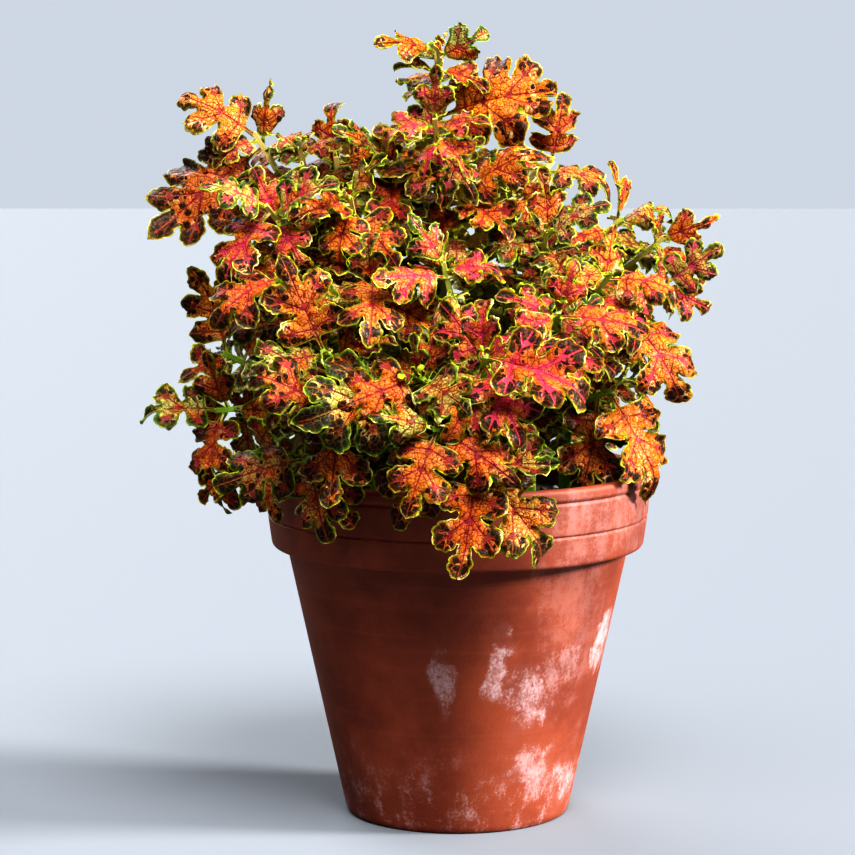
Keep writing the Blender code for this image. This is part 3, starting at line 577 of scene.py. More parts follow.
# small leaves: a tight cluster at each tip, and pairs further down that fill the bush
youngLeaves = {
    "tipPairs": ((0.8, 24, 9), (2.2, 44, 14)),  # below the tip, pitch, length, in mm and degrees
    "fillPairs": ((6, 58, 20), (12, 72, 27), (20, 84, 32), (29, 92, 36), (40, 98, 38), (52, 100, 38)),
    "fillDepth": 0.7,  # the share of a shoot that its fill pairs may take
    "mediumFrom": 30,
    "mainPairs": 10,
    "mainSpan": (0.28, 0.5),  # where they start below the main stem's tip, and how far they run
    "mainPitch": (70, 100),
    "mainLength": 40,
    "sizes": (0.85, 1.2),
    "droop": 34,
}
smallTries = [(swing, lift, size) for size in (1.0, 0.72) for lift in (0, 16, -16, 32)
              for swing in (0, 18, -18, 36)]


def smallLeafSpot(path, below, azimuth, pitch, length):
    return *sideSpot(path, below * mm, azimuth, pitch), length * mm, youngLeaves["droop"]


# places one small leaf where there is room for it, and tells how many it placed
def addSmallLeaf(laid, spot, form, rng, guard, kind):
    made = placeLeaf(spot, form, rng, guard, {laid["key"]}, "small leaf", smallTries)
    if made is None:
        return 0
    made["kind"] = kind
    guard.add(*made["solid"], "small leaf")
    laid["leaves"].append(made)
    return 1


def placeSmallLeaves(shootsLaid, guard):
    count = 0
    young = youngLeaves
    for laid in shootsLaid:
        path = laid["path"]
        rng = random.Random(f"small {laid['key']}")
        start = rng.uniform(0, 360)
        length = sum((b - a).length for a, b in zip(path, path[1:])) / mm
        for pair, (below, pitch, size) in enumerate(young["tipPairs"]):
            for side in (0, 180):
                spot = smallLeafSpot(path, below, start + 90 * pair + side,
                                     pitch * rng.uniform(0.8, 1.2), size * rng.uniform(*young["sizes"]))
                count += addSmallLeaf(laid, spot, "young", rng, guard, "tip")
        for pair, (below, pitch, size) in enumerate(young["fillPairs"]):
            if below > length * young["fillDepth"]:
                break
            for side in (0, 180):
                spot = smallLeafSpot(path, below, start + 45 + 90 * pair + side,
                                     pitch * rng.uniform(0.85, 1.15),
                                     size * rng.uniform(*young["sizes"]))
                form = "young" if size < young["mediumFrom"] else "medium"
                count += addSmallLeaf(laid, spot, form, rng, guard, "fill")
        if laid["n"] == 0:
            first, span = young["mainSpan"]
            for pair in range(young["mainPairs"]):
                below = length * (first + span * pair / young["mainPairs"])
                for side in (0, 180):
                    spot = smallLeafSpot(path, below, start + 90 * pair + side,
                                         rng.uniform(*young["mainPitch"]),
                                         young["mainLength"] * rng.uniform(0.8, 1.2))
                    count += addSmallLeaf(laid, spot, "medium", rng, guard, "fill")
    print("small leaves placed:", count)


fineLeaf = {
    "spacing": 1.9 * mm,
    "smallSpacing": 2.2 * mm,
    "thickness": 0.5 * mm,
    "tooth": 0.021,  # how far the margin's teeth stand out, in blade lengths
    "toothPitch": 0.11,
    "ruffle": 0.050,  # how far the margin waves up and down
    "pucker": 0.012,  # how far the blade swells between its veins
    "roll": (-0.075, 0.035),  # how far the margin rolls under or up
    "ruffleWaves": ((11, 0.6), (23, 0.4)),  # how many waves go round the blade, and their share
    "edgeBand": 0.07,  # how far in from the margin the ruffles reach
    "veinBand": 0.035,
    "lobeCurl": (-0.26, 0.14),  # how far the lobes' ends bend down or up
    "tipCurl": (-0.10, 0.06),
    "rib": 0.25 * mm,  # how far the veins stand out below
    "lobeTurns": (-22, 8, 36, 63, 90, 117, 144, 172, 200),  # points round a lobe's end, in degrees
    "sideVein": 34,  # where each lobe's vein forks, in degrees
    "veinRoom": 0.45,  # points keep this far from the veins and from the margin, in spacings
    "edgeRoom": 0.42,
    "sharpFrom": 62,
}


# a point of the smooth curve through b and c, t of the way between them
def curveAt(a, b, c, d, t):
    return 0.5 * (2 * b + (c - a) * t + (2 * a - 5 * b + 4 * c - d) * t**2
                  + (3 * b - a - 3 * c + d) * t**3)


# a smooth stretch through these points, ends included
def smoothThrough(points, steps):
    points = np.array(points)
    padded = np.concatenate(([2 * points[0] - points[1]], points, [2 * points[-1] - points[-2]]))
    t = np.linspace(0, 1, steps, endpoint=False)[:, None]
    made = [curveAt(*four, t) for four in zip(padded, padded[1:], padded[2:], padded[3:])]
    return np.concatenate(made + [points[-1:]])


# the right half's margin, from the stalk to the tip, in blade lengths, and its lobes' veins
def fineHalf(form, wobble):
    points, veins = [(0.03, -0.01), (0.09, 0.005)], []
    for lobe, nextLobe, depth in zip(*lobesOf(form, wobble), form["sinus"]):
        points += lobeEnd(*lobe, fineLeaf["lobeTurns"]) + [sinusPoint(lobe, nextLobe, depth)]
        y, angle, reach, halfWidth = lobe
        veins.append(((0.0, y), tuple(lobeEnd(y, angle, reach * 0.93, 0.0, [0])[0])))
        start = np.array((math.sin(angle), math.cos(angle))) * (reach - halfWidth) * 0.72 + (0.0, y)
        for turn in (-fineLeaf["sideVein"], fineLeaf["sideVein"]):
            way = angle + math.radians(turn)
            end = start + np.array((math.sin(way), math.cos(way))) * halfWidth * 0.9
            veins.append((tuple(start), tuple(end)))
    e = form["end"]
    points += [(e, 1 - 1.4 * e), (e * 0.94, 1 - 0.8 * e), (e * 0.62, 1 - 0.28 * e), (0.0, 1.01)]
    return points, veins


# teeth along a margin: round bumps with notches between them, by the length along it
def toothed(margin):
    step = np.roll(margin, -1, axis=0) - np.roll(margin, 1, axis=0)
    outward = np.stack((step[:, 1], -step[:, 0]), axis=1)
    outward /= np.maximum(np.linalg.norm(outward, axis=1), 1e-9)[:, None]
    along = np.concatenate(([0], np.cumsum(np.linalg.norm(np.diff(margin, axis=0), axis=1))))
    bump = np.abs(np.sin(np.pi * along / fineLeaf["toothPitch"])) ** 0.6 - 0.6
    onBlade = np.clip((margin[:, 1] - 0.02) / 0.1, 0, 1) * np.clip((1.0 - margin[:, 1]) / 0.08, 0, 1)
    return margin + outward * (fineLeaf["tooth"] * bump * onBlade)[:, None]


# how far each point is from each of these straight pieces
def distanceTo(points, starts, ends):
    span = ends - starts
    share = np.einsum("pij,ij->pi", points[:, None] - starts[None], span)
    share = np.clip(share / np.maximum((span**2).sum(1), 1e-18), 0, 1)
    near = starts[None] + span[None] * share[..., None]
    return np.linalg.norm(points[:, None] - near, axis=2)


# which points lie inside a closed loop
def insideOf(points, loop):
    x, y = points[:, 0:1], points[:, 1:2]
    ax, ay = loop[:, 0], loop[:, 1]
    bx, by = np.roll(ax, -1), np.roll(ay, -1)
    with np.errstate(divide="ignore", invalid="ignore"):
        crosses = ((ay > y) != (by > y)) & (x < (bx - ax) * (y - ay) / (by - ay) + ax)
    return crosses.sum(1) % 2 == 1


# a fine leaf laid flat: points, triangles, and each point's distance from a vein and from the margin
def fineFlat(made, spacing):
    form, blade, stalk = leafForms[made["form"]], made["blade"], made["stalk"]
    rng = random.Random(made["seed"])
    leftWobble, rightWobble = wobbles(rng), wobbles(rng)
    right, rightVeins = fineHalf(form, rightWobble)
    left, leftVeins = fineHalf(form, leftWobble)
    steps = 4 if spacing < 2 * mm else 3
    half = leafCut["stalkHalfWidth"] / blade
    base = [(half, -stalk / blade), (half, -0.5 * stalk / blade)]
    rightLine = smoothThrough(base + right, steps)
    leftLine = smoothThrough(base + left, steps) * (-1, 1)
    margin = toothed(np.concatenate((rightLine, leftLine[::-1][1:]))) * blade
    veins = [((0.0, -stalk / blade), (0.0, 0.96))] + rightVeins
    veins += [((-a[0], a[1]), (-b[0], b[1])) for a, b in leftVeins]
    starts = np.array([v[0] for v in veins]) * blade
    ends = np.array([v[1] for v in veins]) * blade
    veinPoints = []
    for start, end in zip(starts, ends):
        count = max(2, int(np.linalg.norm(end - start) / (spacing * 0.85)))
        veinPoints.append(start + (end - start) * np.linspace(0.02, 1, count)[:, None])
    veinPoints = np.concatenate(veinPoints)
    marginStart, marginEnd = margin, np.roll(margin, -1, axis=0)
    low, high = margin.min(0), margin.max(0)
    grid = []
    for i, y in enumerate(np.arange(low[1], high[1], spacing * 0.866)):
        row = np.arange(low[0] + (i % 2) * spacing / 2, high[0], spacing)
        grid.append(np.stack((row, np.full(len(row), y)), 1))
    grid = np.concatenate(grid)
    grid = grid[insideOf(grid, margin)]
    grid = grid[distanceTo(grid, starts, ends).min(1) > fineLeaf["veinRoom"] * spacing]
    inner = np.concatenate((veinPoints, grid))
    inner = inner[insideOf(inner, margin)]
    inner = inner[distanceTo(inner, marginStart, marginEnd).min(1) > fineLeaf["edgeRoom"] * spacing]
    count = len(margin)
    loop = [(i, (i + 1) % count) for i in range(count)]
    points = [Vector(p) for p in np.concatenate((margin, inner))]
    flat, _, triangles, *_ = delaunay_2d_cdt(points, loop, [], 1, 1e-7)
    flat = np.array([tuple(p) for p in flat])
    triangles = np.array([tuple(t) for t in triangles])
    veinGap = distanceTo(flat, starts, ends).min(1)
    edgeGap = distanceTo(flat, marginStart, marginEnd).min(1)
    return flat, triangles, veinGap, edgeGap


# the fine leaf in place: the frame's bend, with a ruffled margin and swellings between the veins
def fineSolid(made, spacing, rng):
    flat, triangles, veinGap, edgeGap = fineFlat(made, spacing)
    stalk, blade, pose = made["stalk"], made["blade"], made["pose"]
    mid, normal = bentWithNormals(flat, stalk, blade, pose)
    x, y = flat[:, 0] / blade, flat[:, 1] / blade
    onBlade = np.clip(y / 0.15, 0, 1)
    phase = rng.uniform(0, 6.28, 3)
    angle = np.arctan2(x, y - 0.3)
    nearEdge = np.exp(-edgeGap / (fineLeaf["edgeBand"] * blade))
    waves = sum(share * np.sin(count * angle + shift)
                for (count, share), shift in zip(fineLeaf["ruffleWaves"], phase))
    ruffle = fineLeaf["ruffle"] * blade * nearEdge * waves
    outer = np.clip((np.hypot(x, y - 0.35) - 0.30) / 0.35, 0, 1)
    lobeCurl = rng.uniform(*fineLeaf["lobeCurl"]) * blade * outer**2
    roll = rng.uniform(*fineLeaf["roll"]) * blade * nearEdge**1.5
    tipCurl = rng.uniform(*fineLeaf["tipCurl"]) * blade * np.clip((y - 0.75) / 0.3, 0, 1) ** 2
    pucker = fineLeaf["pucker"] * blade * (1 - np.exp(-veinGap / (fineLeaf["veinBand"] * blade)))
    lift = (ruffle + lobeCurl + roll + pucker) * onBlade + tipCurl
    mid = mid + normal * lift[:, None]
    onStalk = np.clip(1 - (flat[:, 1] + stalk) / (stalk + 0.12 * blade), 0, 1)
    rib = np.exp(-veinGap / (0.5 * mm)) * fineLeaf["rib"] * np.clip(1.1 - y, 0.2, 1)
    thin = fineLeaf["thickness"]
    half = (thin + (leafCut["stalkThickness"] * 1.3 - thin) * onStalk) / 2
    above, below = mid + normal * half[:, None], mid - normal * (half + rib)[:, None]
    return above, below, triangles, flat, veinGap, edgeGap


# the wall along the margin: its outer edges, each met by one triangle only
def wallFaces(triangles, count):
    ends = np.concatenate((triangles[:, [0, 1]], triangles[:, [1, 2]], triangles[:, [2, 0]]))
    code = np.minimum(ends[:, 0], ends[:, 1]) * count + np.maximum(ends[:, 0], ends[:, 1])
    _, index, met = np.unique(code, return_inverse=True, return_counts=True)
    rim = ends[met[index.reshape(-1)] == 1]
    return np.concatenate((np.stack((rim[:, 1], rim[:, 0], rim[:, 0] + count), 1),
                           np.stack((rim[:, 1], rim[:, 0] + count, rim[:, 1] + count), 1)))


# all the leaves of one stem in one mesh, with what the leaf's materials read at each point
def leafMesh(name, leaves, materials):
    vertices, loops, slots, place, vein, tone = [], [], [], [], [], []
    start = 0
    for made in leaves:
        rng = np.random.default_rng(int(made["seed"] * 1e9))
        spacing = fineLeaf["smallSpacing"] if made.get("kind") else fineLeaf["spacing"]
        above, below, triangles, flat, veinGap, edgeGap = fineSolid(made, spacing, rng)
        count = len(flat)
        wall = wallFaces(triangles, count)
        vertices += [above, below]
        loops += [triangles + start, triangles[:, ::-1] + count + start, wall + start]
        slots += [np.zeros(len(triangles)), np.ones(len(triangles)), np.zeros(len(wall))]
        seed = rng.uniform(0, 40)
        blade = made["blade"]
        spot = np.stack((flat[:, 0] / blade, flat[:, 1] / blade, np.full(count, seed)), 1)
        gaps = np.stack((veinGap / mm, edgeGap / mm, np.full(count, blade / mm)), 1)
        tones = np.tile(leafTone(made, rng), (count, 1))
        place += [spot, spot]
        vein += [gaps, gaps]
        tone += [tones, tones]
        start += 2 * count
    vertices, loops = np.concatenate(vertices), np.concatenate(loops).astype(np.int32)
    mesh = bpy.data.meshes.new(name)
    mesh.vertices.add(len(vertices))
    mesh.vertices.foreach_set("co", vertices.astype(np.float32).ravel())
    mesh.loops.add(loops.size)
    mesh.loops.foreach_set("vertex_index", loops.ravel())
    mesh.polygons.add(len(loops))
    mesh.polygons.foreach_set("loop_start", np.arange(0, loops.size, 3, dtype=np.int32))
    for each in materials:
        mesh.materials.append(each)
    mesh.polygons.foreach_set("material_index", np.concatenate(slots).astype(np.int32))
    for label, rows in (("leafPlace", place), ("leafVein", vein), ("leafTone", tone)):
        layer = mesh.attributes.new(label, "FLOAT_VECTOR", "POINT")
        layer.data.foreach_set("vector", np.concatenate(rows).astype(np.float32).ravel())
    mesh.update(calc_edges=True)
    smoothTo(mesh, fineLeaf["sharpFrom"])
    return addPiece(name, mesh)


# small helpers for building node trees: each returns the socket that the next node reads
def addNode(tree, kind, settings=None, inputs=None):
    made = tree.nodes.new(kind)
    for key, value in (settings or {}).items():
        setattr(made, key, value)
    for key, value in (inputs or {}).items():
        if isinstance(value, bpy.types.NodeSocket):
            tree.links.new(value, made.inputs[key])
        else:
            made.inputs[key].default_value = value
    return made


def mathOf(tree, operation, a, b):
    return addNode(tree, "ShaderNodeMath", {"operation": operation}, {0: a, 1: b}).outputs[0]


def times(tree, a, b):
    return mathOf(tree, "MULTIPLY", a, b)


def plus(tree, a, b):
    return mathOf(tree, "ADD", a, b)


def minus(tree, a, b):
    return mathOf(tree, "SUBTRACT", a, b)


def blendOf(tree, factor, a, b):
    first, second = [(*c, 1) if isinstance(c, tuple) else c for c in (a, b)]
    made = addNode(tree, "ShaderNodeMix", {"data_type": "RGBA"}, {0: factor, 6: first, 7: second})
    return made.outputs[2]


# runs smoothly from 0 where the value is at start to top where it is at end
def fadeOf(tree, value, start, end, top=1.0):
    made = addNode(tree, "ShaderNodeMapRange", {"interpolation_type": "SMOOTHSTEP"},
                   {"Value": value, "From Min": start, "From Max": end, "To Min": 0.0, "To Max": top})
    return made.outputs[0]


def noiseOf(tree, vector, scale, detail=3.0, roughness=0.55):
    made = addNode(tree, "ShaderNodeTexNoise", None,
                   {"Vector": vector, "Scale": scale, "Detail": detail, "Roughness": roughness})
    return made.outputs[0]


# three unlike noises at once, as a colour
def colourNoise(tree, vector, scale, detail):
    made = addNode(tree, "ShaderNodeTexNoise", None,
                   {"Vector": vector, "Scale": scale, "Detail": detail})
    return made.outputs[1]


def splitOf(tree, vector):
    return addNode(tree, "ShaderNodeSeparateXYZ", None, {0: vector}).outputs


def vectorOf(tree, operation, *inputs):
    made = addNode(tree, "ShaderNodeVectorMath", {"operation": operation}, dict(enumerate(inputs)))
    return made.outputs[0]


def joined(tree, *parts):
    return addNode(tree, "ShaderNodeCombineXYZ", None, dict(enumerate(parts))).outputs[0]


def positionOf(tree):
    return addNode(tree, "ShaderNodeTexCoord").outputs["Object"]


def startMaterial(name, roughness):
    made = bpy.data.materials.new(name)
    made.use_nodes = True
    shader = made.node_tree.nodes["Principled BSDF"]
    shader.inputs["Roughness"].default_value = roughness
    return made, made.node_tree, shader


# joins a colour and a relief to the shader
def dress(tree, shader, colour, height, strength, depth):
    tree.links.new(colour, shader.inputs["Base Color"])
    bump = addNode(tree, "ShaderNodeBump", None,
                   {"Strength": strength, "Distance": depth, "Height": height})
    tree.links.new(bump.outputs[0], shader.inputs["Normal"])


def startGroup(name, inputs, outputs):
    group = bpy.data.node_groups.new(name, "ShaderNodeTree")
    for label, kind, value in inputs:
        socket = group.interface.new_socket(label, in_out="INPUT", socket_type=kind)
        if value is not None:
            socket.default_value = value
    for label, kind in outputs:
        group.interface.new_socket(label, in_out="OUTPUT", socket_type=kind)
    return group, group.nodes.new("NodeGroupInput").outputs, group.nodes.new("NodeGroupOutput").inputs


def useGroup(tree, group, **inputs):
    return addNode(tree, "ShaderNodeGroup", {"node_tree": group}, inputs).outputs


# fine grain, used by the clay, the soil, the perlite and the stems
def grainGroup():
    group, given, put = startGroup(
        "Fine grain",
        [("Vector", "NodeSocketVector", None), ("Size", "NodeSocketFloat", 1 * mm)],
        [("Speckle", "NodeSocketFloat"), ("Cloud", "NodeSocketFloat"), ("Height", "NodeSocketFloat")])
    scale = mathOf(group, "DIVIDE", 1.0, given["Size"])
    fine = noiseOf(group, given["Vector"], scale, 2.0, 0.7)
    cloud = noiseOf(group, given["Vector"], times(group, scale, 0.06), 4.0, 0.6)
    group.links.new(fadeOf(group, fine, 0.56, 0.72), put["Speckle"])
    group.links.new(fadeOf(group, cloud, 0.3, 0.7), put["Cloud"])
    group.links.new(plus(group, fine, times(group, cloud, 0.5)), put["Height"])
    return group


# the leaf's pattern; scales are per mm, and widths are in mm or in shares of a cell
veinPattern = {
    "cells": 0.30,
    "fineCells": 0.72,
    "veinWidth": (0.75, 0.28),
    "wideWidth": (0.085, 0.02),
    "fineWidth": (0.13, 0.02),
    "fineShare": 0.75,
    "marginWidth": (0.42, 0.12),
    "fringeWidth": (2.2, 0.5),
    "core": (0.36, 2.8, 1.8),  # height of the pale middle, in blade lengths, and its tightness each way
    "blotchShares": (0.50, 0.62, 0.30, 0.38),  # by chance, outwards, by cloud and by the leaf's darkness, which holds painted shade
    "blotchFrom": 0.71,
    "blotchGrowth": 1.7,
}


# the leaf's veins, net and blotches, used by its upper side and its underside
# Gaps holds a point's distance from a vein, its distance from the margin and the blade's length, in mm
def veinGroup():
    group, given, put = startGroup(
        "Leaf veins",
        [("Place", "NodeSocketVector", None), ("Gaps", "NodeSocketVector", None),
         ("Dark", "NodeSocketFloat", 0.5)],
        [(label, "NodeSocketFloat") for label in
         ("Vein", "Net", "Margin", "Fringe", "Blotch", "Outer", "Cloud", "Drift", "Height")])
    look = veinPattern
    veinGap, edgeGap, bladeLength = splitOf(group, given["Gaps"])
    x, y, _ = splitOf(group, given["Place"])
    inMm = addNode(group, "ShaderNodeVectorMath", {"operation": "SCALE"},
                   {0: given["Place"], "Scale": bladeLength}).outputs[0]
    shift = vectorOf(group, "MULTIPLY_ADD", colourNoise(group, inMm, 0.22, 2.0), (2.4, 2.4, 0), inMm)
    shift = vectorOf(group, "MULTIPLY_ADD", colourNoise(group, inMm, 0.9, 1.0), (1.5, 1.5, 0), shift)
    cloud = noiseOf(group, inMm, 0.11, 3.0)
    wander = noiseOf(group, inMm, 0.9, 2.0)
    vein = fadeOf(group, plus(group, veinGap, times(group, wander, 0.35)), *look["veinWidth"])

    def cells(scale, feature):
        return addNode(group, "ShaderNodeTexVoronoi", {"feature": feature},
                       {"Vector": shift, "Scale": scale}).outputs

    wideLines = fadeOf(group, cells(look["cells"], "DISTANCE_TO_EDGE")["Distance"], *look["wideWidth"])
    fineLines = fadeOf(group, cells(look["fineCells"], "DISTANCE_TO_EDGE")["Distance"],
                       *look["fineWidth"], look["fineShare"])
    net = mathOf(group, "MAXIMUM", wideLines, fineLines)
    cell = cells(look["cells"], "F1")
    cellDraw = splitOf(group, cell["Color"])[0]

    coreHeight, acrossTight, endTight = look["core"]
    fromCore = joined(group, times(group, x, acrossTight),
                      times(group, minus(group, y, coreHeight), endTight))
    coreGap = addNode(group, "ShaderNodeVectorMath", {"operation": "LENGTH"}, {0: fromCore})
    outer = fadeOf(group, coreGap.outputs["Value"], 0.35, 0.95)
    # the leaf's darkness, painted shade included, makes its blotches larger
    wanted = None
    for value, share in zip((cellDraw, outer, cloud, given["Dark"]), look["blotchShares"]):
        part = times(group, value, share)
        wanted = part if wanted is None else plus(group, wanted, part)
    spotSize = times(group, minus(group, wanted, look["blotchFrom"]), look["blotchGrowth"])
    blotch = fadeOf(group, minus(group, cell["Distance"], spotSize), 0.05, -0.05)
    for part in (minus(group, 1.0, times(group, wideLines, 0.38)),
                 fadeOf(group, edgeGap, 0.5, 1.0), fadeOf(group, veinGap, 0.2, 0.55)):
        blotch = times(group, blotch, part)

    edgeWander = plus(group, edgeGap, times(group, minus(group, wander, 0.5), 0.9))
    puffed = minus(group, 1.0, cell["Distance"])
    height = plus(group, times(group, net, -0.35), times(group, vein, -0.8))
    height = plus(group, height, times(group, puffed, 1.1))
    found = {
        "Vein": vein,
        "Net": net,
        "Margin": fadeOf(group, edgeWander, *look["marginWidth"]),
        "Fringe": fadeOf(group, edgeWander, *look["fringeWidth"]),
        "Blotch": blotch,
        "Outer": outer,
        "Cloud": cloud,
        "Drift": noiseOf(group, inMm, 0.14, 2.0),
        "Height": height,
    }
    for label, value in found.items():
        group.links.new(value, put[label])
    return group


leafColours = {
    "salmon": (0.84, 0.25, 0.022),
    "deepOrange": (0.44, 0.045, 0.002),
    "rust": (0.44, 0.085, 0.003),
    "gold": (0.84, 0.42, 0.025),
    "cream": (0.90, 0.74, 0.36),
    "magenta": (0.62, 0.020, 0.10),
    "veinDark": (0.15, 0.004, 0.007),
    "veinPink": (0.50, 0.030, 0.085),
    "netDark": (0.14, 0.009, 0.003),
    "blotch": (0.006, 0.002, 0.002),
    "fringeGreen": (0.030, 0.085, 0.004),
    "marginLime": (0.43, 0.52, 0.025),
    "marginOlive": (0.12, 0.19, 0.008),
    "marginCream": (0.80, 0.72, 0.30),
    "paleGreen": (0.38, 0.50, 0.12),
    "underTan": (0.58, 0.44, 0.16),
    "underGreen": (0.42, 0.54, 0.24),
    "underVein": (0.74, 0.70, 0.42),
    "underMaroon": (0.10, 0.03, 0.03),
}


def attributeOf(tree, label):
    return addNode(tree, "ShaderNodeAttribute", {"attribute_name": label}).outputs["Vector"]


# what both sides start from: their pattern, and how dark, how pink and how green the leaf is; the
# darkness holds painted shade
def leafStart(name, veins, roughness):
    made, tree, shader = startMaterial(name, roughness)
    shader.inputs["Specular IOR Level"].default_value = 0.14
    tone = splitOf(tree, attributeOf(tree, "leafTone"))
    found = useGroup(tree, veins, Place=attributeOf(tree, "leafPlace"),
                     Gaps=attributeOf(tree, "leafVein"), Dark=tone[0])
    return made, tree, shader, found, tone


# the margin runs from olive through lime to cream
def marginColour(tree, drift):
    c = leafColours
    colour = blendOf(tree, fadeOf(tree, drift, 0.36, 0.52), c["marginOlive"], c["marginLime"])
    return blendOf(tree, fadeOf(tree, drift, 0.54, 0.66, 0.9), colour, c["marginCream"])


def leafUpperMaterial(veins):
    made, tree, shader, found, (dark, magenta, green) = leafStart("Coleus leaf, upper side", veins, 0.33)
    c, outer = leafColours, found["Outer"]
    # painted shade: the leaf's darkness, with its clouds, turns salmon to deep orange
    deepToneAndShade = plus(tree, times(tree, dark, 0.9), times(tree, minus(tree, found["Cloud"], 0.5), 1.2))
    deepToneAndShade.node.use_clamp = True
    colour = blendOf(tree, deepToneAndShade, c["salmon"], c["deepOrange"])
    colour = blendOf(tree, times(tree, outer, 0.3), colour, c["gold"])
    colour = blendOf(tree, times(tree, outer, 0.55), colour, c["rust"])

    # a pink glow along the veins, weaker outwards
    veinGap = splitOf(tree, attributeOf(tree, "leafVein"))[0]
    glow = times(tree, fadeOf(tree, veinGap, 3.4, 0.0, 0.8), magenta)
    glow = times(tree, glow, minus(tree, 1.0, times(tree, outer, 0.7)))
    colour = blendOf(tree, glow, colour, c["magenta"])

    # pale green clouds, then cream cells between the net's lines
    greenShare = times(tree, green, fadeOf(tree, found["Cloud"], 0.3, 0.6))
    colour = blendOf(tree, greenShare, colour, c["paleGreen"])
    creamShare = times(tree, fadeOf(tree, found["Drift"], 0.50, 0.68, 0.85), outer)
    creamShare = times(tree, creamShare, minus(tree, 1.0, found["Net"]))
    colour = blendOf(tree, creamShare, colour, c["cream"])
    netShare = minus(tree, 0.95, times(tree, outer, 0.35))
    colour = blendOf(tree, times(tree, found["Net"], netShare), colour, c["netDark"])
    colour = blendOf(tree, times(tree, found["Blotch"], 0.96), colour, c["blotch"])

    # the green fringe, the veins and the margin lie over the rest
    fringe = times(tree, found["Fringe"], plus(tree, times(tree, green, 0.6), 0.3))
    colour = blendOf(tree, fringe, colour, c["fringeGreen"])
    veinColour = blendOf(tree, magenta, c["veinDark"], c["veinPink"])
    colour = blendOf(tree, times(tree, found["Vein"], 0.85), colour, veinColour)
    colour = blendOf(tree, found["Margin"], colour, marginColour(tree, found["Drift"]))
    dress(tree, shader, colour, found["Height"], 0.8, 0.6 * mm)
    return made


def leafUnderMaterial(veins):
    made, tree, shader, found, _ = leafStart("Coleus leaf, underside", veins, 0.6)
    c = leafColours
    colour = blendOf(tree, fadeOf(tree, found["Cloud"], 0.35, 0.65), c["underTan"], c["underGreen"])
    colour = blendOf(tree, times(tree, found["Blotch"], 0.8), colour, c["underMaroon"])
    colour = blendOf(tree, times(tree, found["Net"], 0.4), colour, c["underVein"])
    colour = blendOf(tree, times(tree, found["Vein"], 0.8), colour, c["underVein"])
    colour = blendOf(tree, found["Margin"], colour, marginColour(tree, found["Drift"]))
    dress(tree, shader, colour, times(tree, found["Height"], -1.0), 0.5, 0.35 * mm)
    return made


# shoots whose leaves are pink along the midrib: across and height, in mm
pinkShoots = ((-95, 318), (-12, 360), (-9, 291), (12, 250), (50, 268), (86, 262), (106, 290))
leafTones = {
    "tip": ((0.0, 0.3), (0.1, 0.8), (0.5, 1.0)),
    # painted shade: leaves near the bush's middle, within bushRadius, are darker
    "bushMiddle": np.array((0, 0, 0.24)),
    "bushRadius": 0.11,
    "shade": (0.40, -1.4, -0.5),  # painted shade, darker to the left and lower down: in the middle, for each metre to the right, and for each metre up
    "shadeSpread": 0.22,
    "pinkReach": 20 * mm,
    "pink": (0.5, 1.0),
    "plain": (0.0, 0.3),
    "fewGreen": (0, 0.2),
    "muchGreen": (0.3, 1.0),
    "fewGreenShare": 0.8,
}


# how dark, how pink and how green a leaf is, each from 0 to 1; the darkness is random tone plus painted
# shade, darker to the left, lower down, near the bush's middle and on the fill leaves
def leafTone(made, rng):
    tones, root, kind = leafTones, made["pose"][0], made.get("kind")
    if kind == "tip":
        return [rng.uniform(*span) for span in tones["tip"]]
    away = np.linalg.norm((root - tones["bushMiddle"]) * (1, 1, 0.7))
    inside = 1 - min(away / tones["bushRadius"], 1)
    middle, toRight, upward = tones["shade"]
    shade = middle + toRight * root[0] + upward * (root[2] - 0.27)
    dark = float(np.clip(shade + 0.5 * inside + rng.normal(0, tones["shadeSpread"]), 0, 1))
    nearest = min(math.hypot(root[0] - x * mm, root[2] - z * mm) for x, z in pinkShoots)
    isPink = nearest < tones["pinkReach"] and root[1] < 0
    magenta = rng.uniform(*tones["pink" if isPink else "plain"])
    green = rng.uniform(*tones["fewGreen" if rng.random() < tones["fewGreenShare"] else "muchGreen"])
    if kind == "fill":
        # painted shade: the fill leaves deep inside the bush are darker still
        return min(dark + 0.25, 1), magenta * 0.5, min(green + rng.uniform(0, 0.5), 1)
    return dark, magenta, green


stemColours = {"green": (0.22, 0.48, 0.030), "pale": (0.64, 0.50, 0.15), "blush": (0.40, 0.10, 0.05)}


def stemMaterial(grain):
    made, tree, shader = startMaterial("Coleus stem", 0.42)
    around, along, height = splitOf(tree, attributeOf(tree, "stemPlace"))
    position = positionOf(tree)
    streaks = noiseOf(tree, joined(tree, around, along), 1.6, 3.0)
    speckled = useGroup(tree, grain, Vector=position, Size=0.5 * mm)
    colour = blendOf(tree, fadeOf(tree, height, 0.25, 0.85), stemColours["green"], stemColours["pale"])
    colour = blendOf(tree, fadeOf(tree, streaks, 0.5, 0.75, 0.45), colour, stemColours["blush"])
    colour = blendOf(tree, times(tree, speckled["Speckle"], 0.25), colour, stemColours["pale"])
    dress(tree, shader, colour, speckled["Height"], 0.25, 0.2 * mm)
    return made


